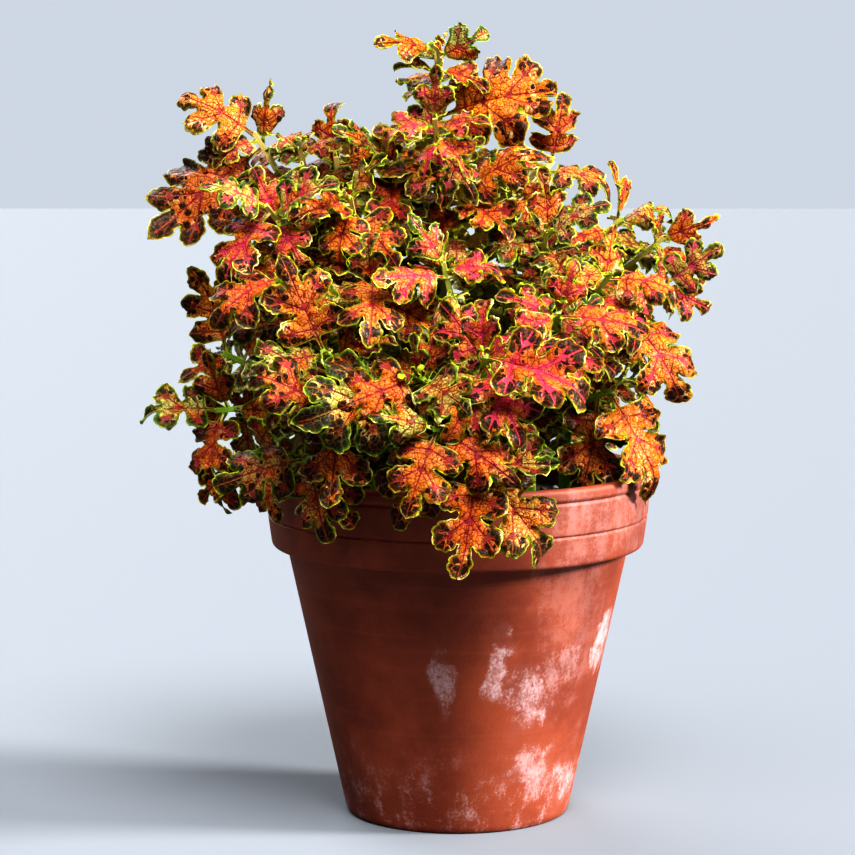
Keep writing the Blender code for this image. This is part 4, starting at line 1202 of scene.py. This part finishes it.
clayLook = {
    "fired": (0.295, 0.058, 0.021),
    "dark": (0.195, 0.031, 0.010),
    "light": (0.60, 0.19, 0.10),
    "salt": (0.74, 0.56, 0.60),
    # salt blooms on the front, two of them partly painted sheen on the lit right side: centre across,
    # height, half width and half height in mm, then strength
    "bloomsAndSheen": (
        (-9, 82, 6, 18, 0.50),
        (20, 87, 6, 17, 0.62),
        (35, 72, 12, 21, 0.50),
        (36, 30, 16, 11, 0.42),
        (53, 21, 9, 13, 0.56),
        (75, 93, 6, 15, 0.55),
        # partly salt, partly painted sheen: a broad pale haze on the body's lit right front
        (56, 112, 20, 44, 0.09),
        (51, 88, 10, 16, 0.26),
        # partly salt, partly painted highlight: a pale patch on the band's lit right side
        (74, 162, 34, 20, 0.15),
    ),
    "warp": (34 * mm, 60 * mm, 46 * mm),  # how far the blooms' outlines wander
    "footSalt": (60 * mm, 0.40),  # how high the salt climbs from the foot, and its strength
    "frontOnly": (4 * mm, -26 * mm),
}


# salt is a soft haze with bright crystals in it, and each bloom fades out from its middle; two blooms are
# partly painted sheen on the lit right side
def saltAndSheenGroup():
    group, given, put = startGroup(
        "Salt bloom and painted sheen",
        [("Vector", "NodeSocketVector", None), ("Haze", "NodeSocketFloat", 0.5)],
        [("Salt", "NodeSocketFloat")])
    drift = vectorOf(group, "SUBTRACT", colourNoise(group, given["Vector"], 42.0, 3.0), (0.5, 0.5, 0.5))
    warped = vectorOf(group, "MULTIPLY_ADD", drift, clayLook["warp"], given["Vector"])
    x, y, z = splitOf(group, warped)
    crystals = noiseOf(group, given["Vector"], 620.0, 3.0, 0.75)
    upright = vectorOf(group, "MULTIPLY", given["Vector"], (1.0, 1.0, 0.32))
    smears = noiseOf(group, upright, 170.0, 5.0, 0.7)
    clouds = noiseOf(group, given["Vector"], 80.0, 4.0, 0.6)
    ragged = plus(group, plus(group, crystals, times(group, smears, 1.2)), clouds)
    ragged = minus(group, ragged, 0.75)
    footTop, footStrength = clayLook["footSalt"]
    salt = times(group, fadeOf(group, z, footTop, 0.0), fadeOf(group, ragged, 0.84, 1.3, footStrength))
    front = fadeOf(group, y, *clayLook["frontOnly"])
    for acrossAt, heightAt, halfWidth, halfHeight, strength in clayLook["bloomsAndSheen"]:
        a = mathOf(group, "DIVIDE", minus(group, x, acrossAt * mm), halfWidth * mm)
        b = mathOf(group, "DIVIDE", minus(group, z, heightAt * mm), halfHeight * mm)
        away = plus(group, times(group, a, a), times(group, b, b))
        middle = fadeOf(group, away, 1.9, 0.0)
        reach = plus(group, times(group, middle, 0.50), ragged)
        spot = times(group, fadeOf(group, reach, 1.02, 1.62, strength), fadeOf(group, middle, 0.0, 0.35))
        haze = times(group, middle, times(group, given["Haze"], strength * 0.16))
        spot = plus(group, spot, haze)
        salt = mathOf(group, "MAXIMUM", salt, times(group, spot, front))
    group.links.new(salt, put["Salt"])
    return group


def clayMaterial(grain):
    made, tree, shader = startMaterial("Fired clay with salt bloom and painted sheen", 0.62)
    shader.inputs["Specular IOR Level"].default_value = 0.5
    position = positionOf(tree)
    speckled = useGroup(tree, grain, Vector=position, Size=0.7 * mm)
    blotches = noiseOf(tree, position, 20.0, 5.0, 0.62)
    rings = noiseOf(tree, vectorOf(tree, "MULTIPLY", position, (5.0, 5.0, 300.0)), 1.0, 3.0, 0.6)
    colour = blendOf(tree, fadeOf(tree, blotches, 0.36, 0.62), clayLook["dark"], clayLook["fired"])
    colour = blendOf(tree, fadeOf(tree, rings, 0.5, 0.85, 0.10), colour, clayLook["light"])
    colour = blendOf(tree, times(tree, speckled["Speckle"], 0.25), colour, clayLook["dark"])
    salt = useGroup(tree, saltAndSheenGroup(), Vector=position, Haze=0.6)["Salt"]
    # the pale salt colour over the clay: real salt, and painted sheen on the lit right side
    colour = blendOf(tree, salt, colour, clayLook["salt"])
    height = plus(tree, speckled["Height"], times(tree, rings, 0.5))
    height = plus(tree, height, times(tree, salt, 0.6))
    dress(tree, shader, colour, height, 0.3, 0.3 * mm)
    return made


soilLook = {  # dark and light colour, size of the grain, roughness
    "soil": ((0.020, 0.013, 0.009), (0.085, 0.052, 0.032), 1.0 * mm, 0.95),
    "perlite": ((0.62, 0.60, 0.56), (0.82, 0.81, 0.78), 0.6 * mm, 0.9),
}


def crumbMaterial(grain, name, dark, light, size, roughness):
    made, tree, shader = startMaterial(name, roughness)
    position = positionOf(tree)
    speckled = useGroup(tree, grain, Vector=position, Size=size)
    colour = blendOf(tree, speckled["Cloud"], dark, light)
    colour = blendOf(tree, times(tree, speckled["Speckle"], 0.5), colour, light)
    dress(tree, shader, colour, speckled["Height"], 0.8, 0.6 * mm)
    return made


pot = {
    "height": 180 * mm,
    "rimRadius": 100 * mm,
    "footRadius": 58 * mm,
    "bandHeight": 40 * mm,
    "bandBottomRadius": 96.5 * mm,
    "neckRadius": 88.5 * mm,
    "lipHeight": 7 * mm,
    "lipGroove": 1.2 * mm,
    "bandGrooveZ": 156 * mm,
    "wall": 7.5 * mm,
    "floor": 11 * mm,
    "drainRadius": 5.5 * mm,
    "drainCircle": 27 * mm,
    "drainHoles": 3,
    "steps": 160,
}


# the pot's radius inside, at a height
def innerRadius(z):
    low, high = pot["footRadius"] - pot["wall"], pot["rimRadius"] - pot["wall"]
    return low + (high - low) * (z / pot["height"])


# the pot and the soil as the leaves see them, with the room that they keep
def potGuard():
    bandBottom, lip, rim = pot["height"] - pot["bandHeight"], pot["height"] - 4 * mm, pot["rimRadius"]
    potRoom, soilTop = leafCut["potClear"], soil["level"] + leafCut["soilClear"]
    inside = rim - pot["wall"]
    profile = ((pot["footRadius"], 0), (pot["neckRadius"], bandBottom),
               (pot["bandBottomRadius"] + potRoom, bandBottom), (rim + potRoom, lip),
               (rim - pot["wall"] / 2, pot["height"] + potRoom), (inside - potRoom, lip),
               (inside - 3 * mm, soilTop), (0.5 * mm, soilTop))
    sides = 48
    turns = [2 * math.pi * k / sides for k in range(sides)]
    points = [(r * math.cos(t), r * math.sin(t), z) for r, z in profile for t in turns]
    faces = []
    for start in range(0, sides * (len(profile) - 1), sides):
        for k in range(sides):
            a, b = start + k, start + (k + 1) % sides
            faces.append((a, b, b + sides, a + sides))
    return np.array(points), faces


# rounds the corners of an outline: each corner is (radius, height, fillet)
def rounded(corners, steps):
    made = []
    for i, (x, y, fillet) in enumerate(corners):
        here = np.array((x, y))
        if fillet == 0 or i in (0, len(corners) - 1):
            made.append(here)
            continue
        before, after = np.array(corners[i - 1][:2]) - here, np.array(corners[i + 1][:2]) - here
        reach = min(fillet, np.linalg.norm(before) * 0.49, np.linalg.norm(after) * 0.49)
        a = here + before / np.linalg.norm(before) * reach
        b = here + after / np.linalg.norm(after) * reach
        for t in np.linspace(0, 1, steps):
            made.append(a * (1 - t) ** 2 + here * 2 * t * (1 - t) + b * t**2)
    return made


# turns an outline round the pot's axis, as on a wheel
def turnedPiece(name, outline, steps, material):
    mesh = bpy.data.meshes.new(name)
    edges = [(i, i + 1) for i in range(len(outline) - 1)]
    mesh.from_pydata([(p[0], 0, p[1]) for p in outline], edges, [])
    mesh.materials.append(material)
    made = addPiece(name, mesh)
    spin = made.modifiers.new("Turn", "SCREW")
    spin.steps = spin.render_steps = steps
    spin.use_merge_vertices = True
    spin.merge_threshold = 1e-5
    spin.use_normal_calculate = True
    return made


# turns what the piece's modifiers make into its own mesh
def applyModifiers(piece):
    graph = bpy.context.evaluated_depsgraph_get()
    mesh = bpy.data.meshes.new_from_object(piece.evaluated_get(graph))
    piece.modifiers.clear()
    piece.data = mesh


def cutHoles(piece, centres, radius, low, high):
    for x, y in centres:
        shape = bmesh.new()
        bmesh.ops.create_cone(shape, cap_ends=True, segments=40, radius1=radius, radius2=radius,
                              depth=high - low)
        mesh = bpy.data.meshes.new("drainCutter")
        shape.to_mesh(mesh)
        shape.free()
        cutter = addPiece("drainCutter", mesh)
        cutter.location = (x, y, (low + high) / 2)
        drill = piece.modifiers.new("Hole", "BOOLEAN")
        drill.object = cutter
        applyModifiers(piece)
        bpy.data.objects.remove(cutter)


def makePot(clay):
    top, lip, rim = pot["height"], pot["height"] - pot["lipHeight"], pot["rimRadius"]
    bandBottom, groove = top - pot["bandHeight"], pot["bandGrooveZ"]
    outline = [  # radius, height and fillet of each corner, from under the foot to the floor inside
        (0, 0, 0),
        (pot["footRadius"] - 1.0 * mm, 0, 1.6 * mm),
        (pot["footRadius"] + 0.3 * mm, 2.5 * mm, 2 * mm),
        (pot["neckRadius"], bandBottom + 0.4 * mm, 1.0 * mm),
        (pot["bandBottomRadius"] - 0.6 * mm, bandBottom, 2.6 * mm),
        (rim - 2.0 * mm, groove - 1.0 * mm, 0.5 * mm),
        (rim - 2.9 * mm, groove - 0.2 * mm, 0.5 * mm),
        (rim - 1.7 * mm, groove + 0.8 * mm, 0.6 * mm),
        (rim - 0.7 * mm, lip - 1.2 * mm, 0.8 * mm),
        (rim - pot["lipGroove"] - 0.4 * mm, lip, 0.6 * mm),
        (rim, lip + 1.4 * mm, 1.2 * mm),
        (rim, top, 4.4 * mm),
        (innerRadius(top) + 0.1 * mm, top, 3.6 * mm),
        (innerRadius(top - 8 * mm) + 0.1 * mm, top - 8 * mm, 1 * mm),
        (innerRadius(pot["floor"]), pot["floor"], 1.5 * mm),
        (0, pot["floor"], 0),
    ]
    made = turnedPiece("potBody", rounded(outline, 7), pot["steps"], clay)
    applyModifiers(made)
    turns = [math.radians(90 + 360 * k / pot["drainHoles"]) for k in range(pot["drainHoles"])]
    cutHoles(made, [(pot["drainCircle"] * math.cos(t), pot["drainCircle"] * math.sin(t)) for t in turns],
             pot["drainRadius"], -5 * mm, pot["floor"] + 5 * mm)
    smoothTo(made.data, 40)
    return made


soil = {
    "level": 162 * mm,
    "gap": 0.35 * mm,
    "bump": 1.6 * mm,
    "holeDepth": 16 * mm,
    "holeGap": 0.4 * mm,
    "rings": 34,
    "sides": 120,
    "crumbs": 420,
    "crumbSizes": (0.6 * mm, 2.0 * mm),
    "perlite": 26,
    "perliteSizes": (0.9 * mm, 1.9 * mm),
    "stemRoom": 6.5 * mm,  # loose bits stay this far from a stem's middle
    "wallRoom": 4 * mm,
}


# broad swells that die out at the wall, and two sizes of crumble
def soilHeight(x, y):
    bump = soil["bump"] * math.sin(x / (9 * mm)) * math.cos(y / (11 * mm) + 1)
    bump *= max(0, 1 - math.hypot(x, y) / (pot["rimRadius"] - pot["wall"]))
    coarse = noise.noise(Vector((x, y, 0)) * 420) * 0.9 * mm
    fine = noise.noise(Vector((x, y, 3)) * 1300) * 0.35 * mm
    return soil["level"] + bump + (coarse + fine)


def makeSoil(material):
    rings, sides = soil["rings"], soil["sides"]
    gap = soil["gap"] + 0.2 * mm
    edge = innerRadius(soil["level"]) - gap
    under = pot["floor"] + soil["gap"]
    made = bmesh.new()
    levels = [(edge * (i + 1) / rings, None) for i in range(rings)]
    levels.append((innerRadius(under) - gap - 0.3 * mm, under))
    middle = made.verts.new((0, 0, soilHeight(0, 0)))
    last = None
    for radius, z in levels:
        ring = []
        for k in range(sides):
            t = 2 * math.pi * k / sides
            x, y = radius * math.cos(t), radius * math.sin(t)
            ring.append(made.verts.new((x, y, soilHeight(x, y) if z is None else z)))
        for k in range(sides):
            j = (k + 1) % sides
            if last is None:
                made.faces.new((middle, ring[k], ring[j]))
            else:
                made.faces.new((last[k], ring[k], ring[j], last[j]))
        last = ring
    made.faces.new(last[::-1])
    mesh = bpy.data.meshes.new("soilBody")
    made.to_mesh(mesh)
    made.free()
    mesh.materials.append(material)
    smoothTo(mesh, 50)
    return addPiece("soilBody", mesh)


# loose bits on the soil, kept off the stems
def makeCrumbs(name, count, sizes, flatness, seed, material):
    rng = random.Random(seed)
    feet = [(x * mm, y * mm) for (x, y), _ in stems.values()]
    made = bmesh.new()
    placed = 0
    while placed < count:
        radius = (innerRadius(soil["level"]) - soil["wallRoom"]) * math.sqrt(rng.random())
        t = rng.uniform(0, 2 * math.pi)
        x, y = radius * math.cos(t), radius * math.sin(t)
        if any(math.hypot(x - a, y - b) < soil["stemRoom"] for a, b in feet):
            continue
        size = rng.uniform(*sizes)
        rounds = 2 if size > 1.2 * mm else 1
        found = bmesh.ops.create_icosphere(made, subdivisions=rounds, radius=1)["verts"]
        spin = rng.uniform(0, 6.28)
        for vertex in found:
            wobble = 1 + 0.55 * noise.noise(vertex.co * 1.4 + Vector((placed * 3.1, seed, 0)))
            a, b, c = vertex.co * wobble
            b *= rng.uniform(0.97, 1.03) * 0.8
            turnedX = a * math.cos(spin) - b * math.sin(spin)
            turnedY = a * math.sin(spin) + b * math.cos(spin)
            vertex.co = (x + turnedX * size, y + turnedY * size,
                         soilHeight(x, y) + (c * flatness + 0.25) * size)
        placed += 1
    mesh = bpy.data.meshes.new(name)
    made.to_mesh(mesh)
    made.free()
    mesh.materials.append(material)
    mesh.shade_smooth()
    return addPiece(name, mesh)


# a square stem with rounded corners, along a smooth curve
def fineTube(path, radii, sides):
    centres, sizes = [], []
    steps = stem["curveSteps"]
    for i in range(len(path) - 1):
        a, b, c, d = (path[min(max(k, 0), len(path) - 1)] for k in (i - 1, i, i + 1, i + 2))
        for step in range(steps):
            t = step / steps
            centres.append(curveAt(a, b, c, d, t))
            sizes.append(radii[i] + (radii[i + 1] - radii[i]) * t)
    centres.append(path[-1])
    sizes.append(radii[-1])
    points, faces, place = [], [], []
    across = (path[1] - path[0]).normalized().orthogonal().normalized()
    length = 0
    for i, (centre, radius) in enumerate(zip(centres, sizes)):
        ahead, behind = centres[min(i + 1, len(centres) - 1)], centres[max(i - 1, 0)]
        way = (ahead - behind).normalized()
        across = (across - way * across.dot(way)).normalized()
        other = way.cross(across)
        length += (centre - behind).length if i else 0
        for k in range(sides):
            t = 2 * math.pi * k / sides
            reach = radius * (1 - stem["squareness"] + stem["squareness"] * math.cos(4 * t))
            points.append(centre + (across * math.cos(t) + other * math.sin(t)) * reach)
            paleness = min(max((centre.z - stem["paleFrom"]) / stem["paleOver"], 0), 1)
            place.append((4 * t / math.pi, length / mm / 14, paleness))
    for i in range(len(centres) - 1):
        for k in range(sides):
            a, b = i * sides + k, i * sides + (k + 1) % sides
            faces.append((a, b, b + sides, a + sides))
    faces.append(tuple(range(sides))[::-1])
    last = (len(centres) - 1) * sides
    faces.append(tuple(last + k for k in range(sides)))
    return points, faces, place


def stemMesh(name, shootsOfStem, material):
    points, faces, place = [], [], []
    for laid in shootsOfStem:
        morePoints, moreFaces, morePlace = fineTube(laid["path"], laid["radii"], stem["fineSides"])
        faces += [tuple(i + len(points) for i in face) for face in moreFaces]
        points += morePoints
        place += morePlace
    mesh = bpy.data.meshes.new(name)
    mesh.from_pydata([tuple(p) for p in points], [], faces)
    mesh.materials.append(material)
    layer = mesh.attributes.new("stemPlace", "FLOAT_VECTOR", "POINT")
    layer.data.foreach_set("vector", np.array(place, dtype=np.float32).ravel())
    smoothTo(mesh, 60)
    return addPiece(name, mesh)


# the camera sees a lighter floor and wall than the ones that light the plant
room = {
    "floor": (0.162, 0.178, 0.205),
    "floorBounce": (0.07, 0.072, 0.078),
    "wall": (0.47, 0.505, 0.565),
    "fillLight": (0.045, 0.047, 0.052),
    "half": 6.0,
    "lightsAim": (0, 0, 0.22),
}


def makeRoom():
    half = room["half"]
    floorMesh = bpy.data.meshes.new("floor")
    floorMesh.from_pydata([(-half, -half, 0), (half, -half, 0), (half, half, 0), (-half, half, 0)], [],
                          [(0, 1, 2, 3)])
    pale, tree, shader = startMaterial("Pale floor", 0.8)
    seen = addNode(tree, "ShaderNodeLightPath").outputs["Is Camera Ray"]
    tree.links.new(blendOf(tree, seen, room["floorBounce"], room["floor"]), shader.inputs["Base Color"])
    floorMesh.materials.append(pale)
    floor = addPiece("floor", floorMesh)
    world = bpy.data.worlds.new("Pale studio")
    world.use_nodes = True
    sky, tree = world.node_tree.nodes["Background"], world.node_tree
    seen = addNode(tree, "ShaderNodeLightPath").outputs["Is Camera Ray"]
    tree.links.new(blendOf(tree, seen, room["fillLight"], room["wall"]), sky.inputs[0])
    bpy.context.scene.world = world


studioLights = (
    # name, where its light comes from, width in degrees, strength, colour
    ("key from the right", (1.74, -0.25, 1.05), 14, 7.3, (1.0, 0.98, 0.93)),
    ("top", (0.30, -0.90, 1.65), 30, 4.3, (1.0, 0.99, 0.96)),
    ("fill from the left", (-0.55, -0.75, 1.8), 40, 1.0, (0.96, 0.98, 1.0)),
    ("from behind", (-0.70, 1.40, 1.30), 40, 1.8, (0.96, 0.98, 1.0)),
)


def makeLights():
    for name, place, width, strength, colour in studioLights:
        data = bpy.data.lights.new(name, "SUN")
        data.angle, data.energy, data.color = math.radians(width), strength, colour
        light = addPiece(name, data)
        light.location = place
        way = Vector(room["lightsAim"]) - Vector(place)
        light.rotation_euler = way.to_track_quat("-Z", "Y").to_euler()


# the camera stands where the photo was taken from: the pot's axis is at x 0, y 0
cameraSettings = {
    "place": (-0.0156, -1.56, 0.3945),
    "pitchDown": 7.1,
    "lens": 128.2,
    "sensor": 36,
}


def makeCamera():
    data = bpy.data.cameras.new("camera")
    data.lens, data.sensor_width = cameraSettings["lens"], cameraSettings["sensor"]
    data.clip_end = 30
    camera = addPiece("camera", data)
    camera.location = cameraSettings["place"]
    camera.rotation_euler = (math.radians(90 - cameraSettings["pitchDown"]), 0, 0)
    bpy.context.scene.camera = camera


makeCamera()
makeRoom()
makeLights()
bpy.context.scene.view_settings.view_transform = "Standard"
bpy.context.scene.view_settings.look = "High Contrast"
print("stage: camera, floor and lights ready")

grain = grainGroup()
veins = veinGroup()
clay = clayMaterial(grain)
soilStuff = crumbMaterial(grain, "Potting soil", *soilLook["soil"])
perliteStuff = crumbMaterial(grain, "Perlite", *soilLook["perlite"])
stemStuff = stemMaterial(grain)
leafStuff = (leafUpperMaterial(veins), leafUnderMaterial(veins))
print("materials: clay, soil, perlite, stem and both sides of the leaf")

guard = Guard()
guard.add(*potGuard(), "pot")
shootsLaid = layOutStems(guard)
placeLargeLeaves(shootsLaid, guard)
print("large leaves placed:", sum(len(laid["leaves"]) for laid in shootsLaid))
placeSmallLeaves(shootsLaid, guard)

potBody = makePot(clay)
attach(potBody, "root")
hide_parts("clay_pot")
soilBody = makeSoil(soilStuff)
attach(soilBody, "root")
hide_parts("potting_soil")
crumbs = makeCrumbs("soilCrumbs", soil["crumbs"], soil["crumbSizes"], 0.6, 11, soilStuff)
perlite = makeCrumbs("soilPerlite", soil["perlite"], soil["perliteSizes"], 0.8, 23, perliteStuff)
for bits in (crumbs, perlite):
    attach(bits, "root")
print("pot and soil made")

for name in stems:
    ofStem = [laid for laid in shootsLaid if laid["stem"] == name]
    words = name.replace("leafy_stem_", "").split("_")
    label = words[0] + "".join(word.capitalize() for word in words[1:])
    wood = stemMesh(label + "Stem", ofStem, stemStuff)
    foliage = leafMesh(label + "Leaves", [made for laid in ofStem for made in laid["leaves"]], leafStuff)
    for piece in (wood, foliage):
        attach(piece, "root")
        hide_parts(name)
    count = sum(len(laid["leaves"]) for laid in ofStem)
    print(label, "has", count, "leaves,", len(foliage.data.polygons), "triangles")
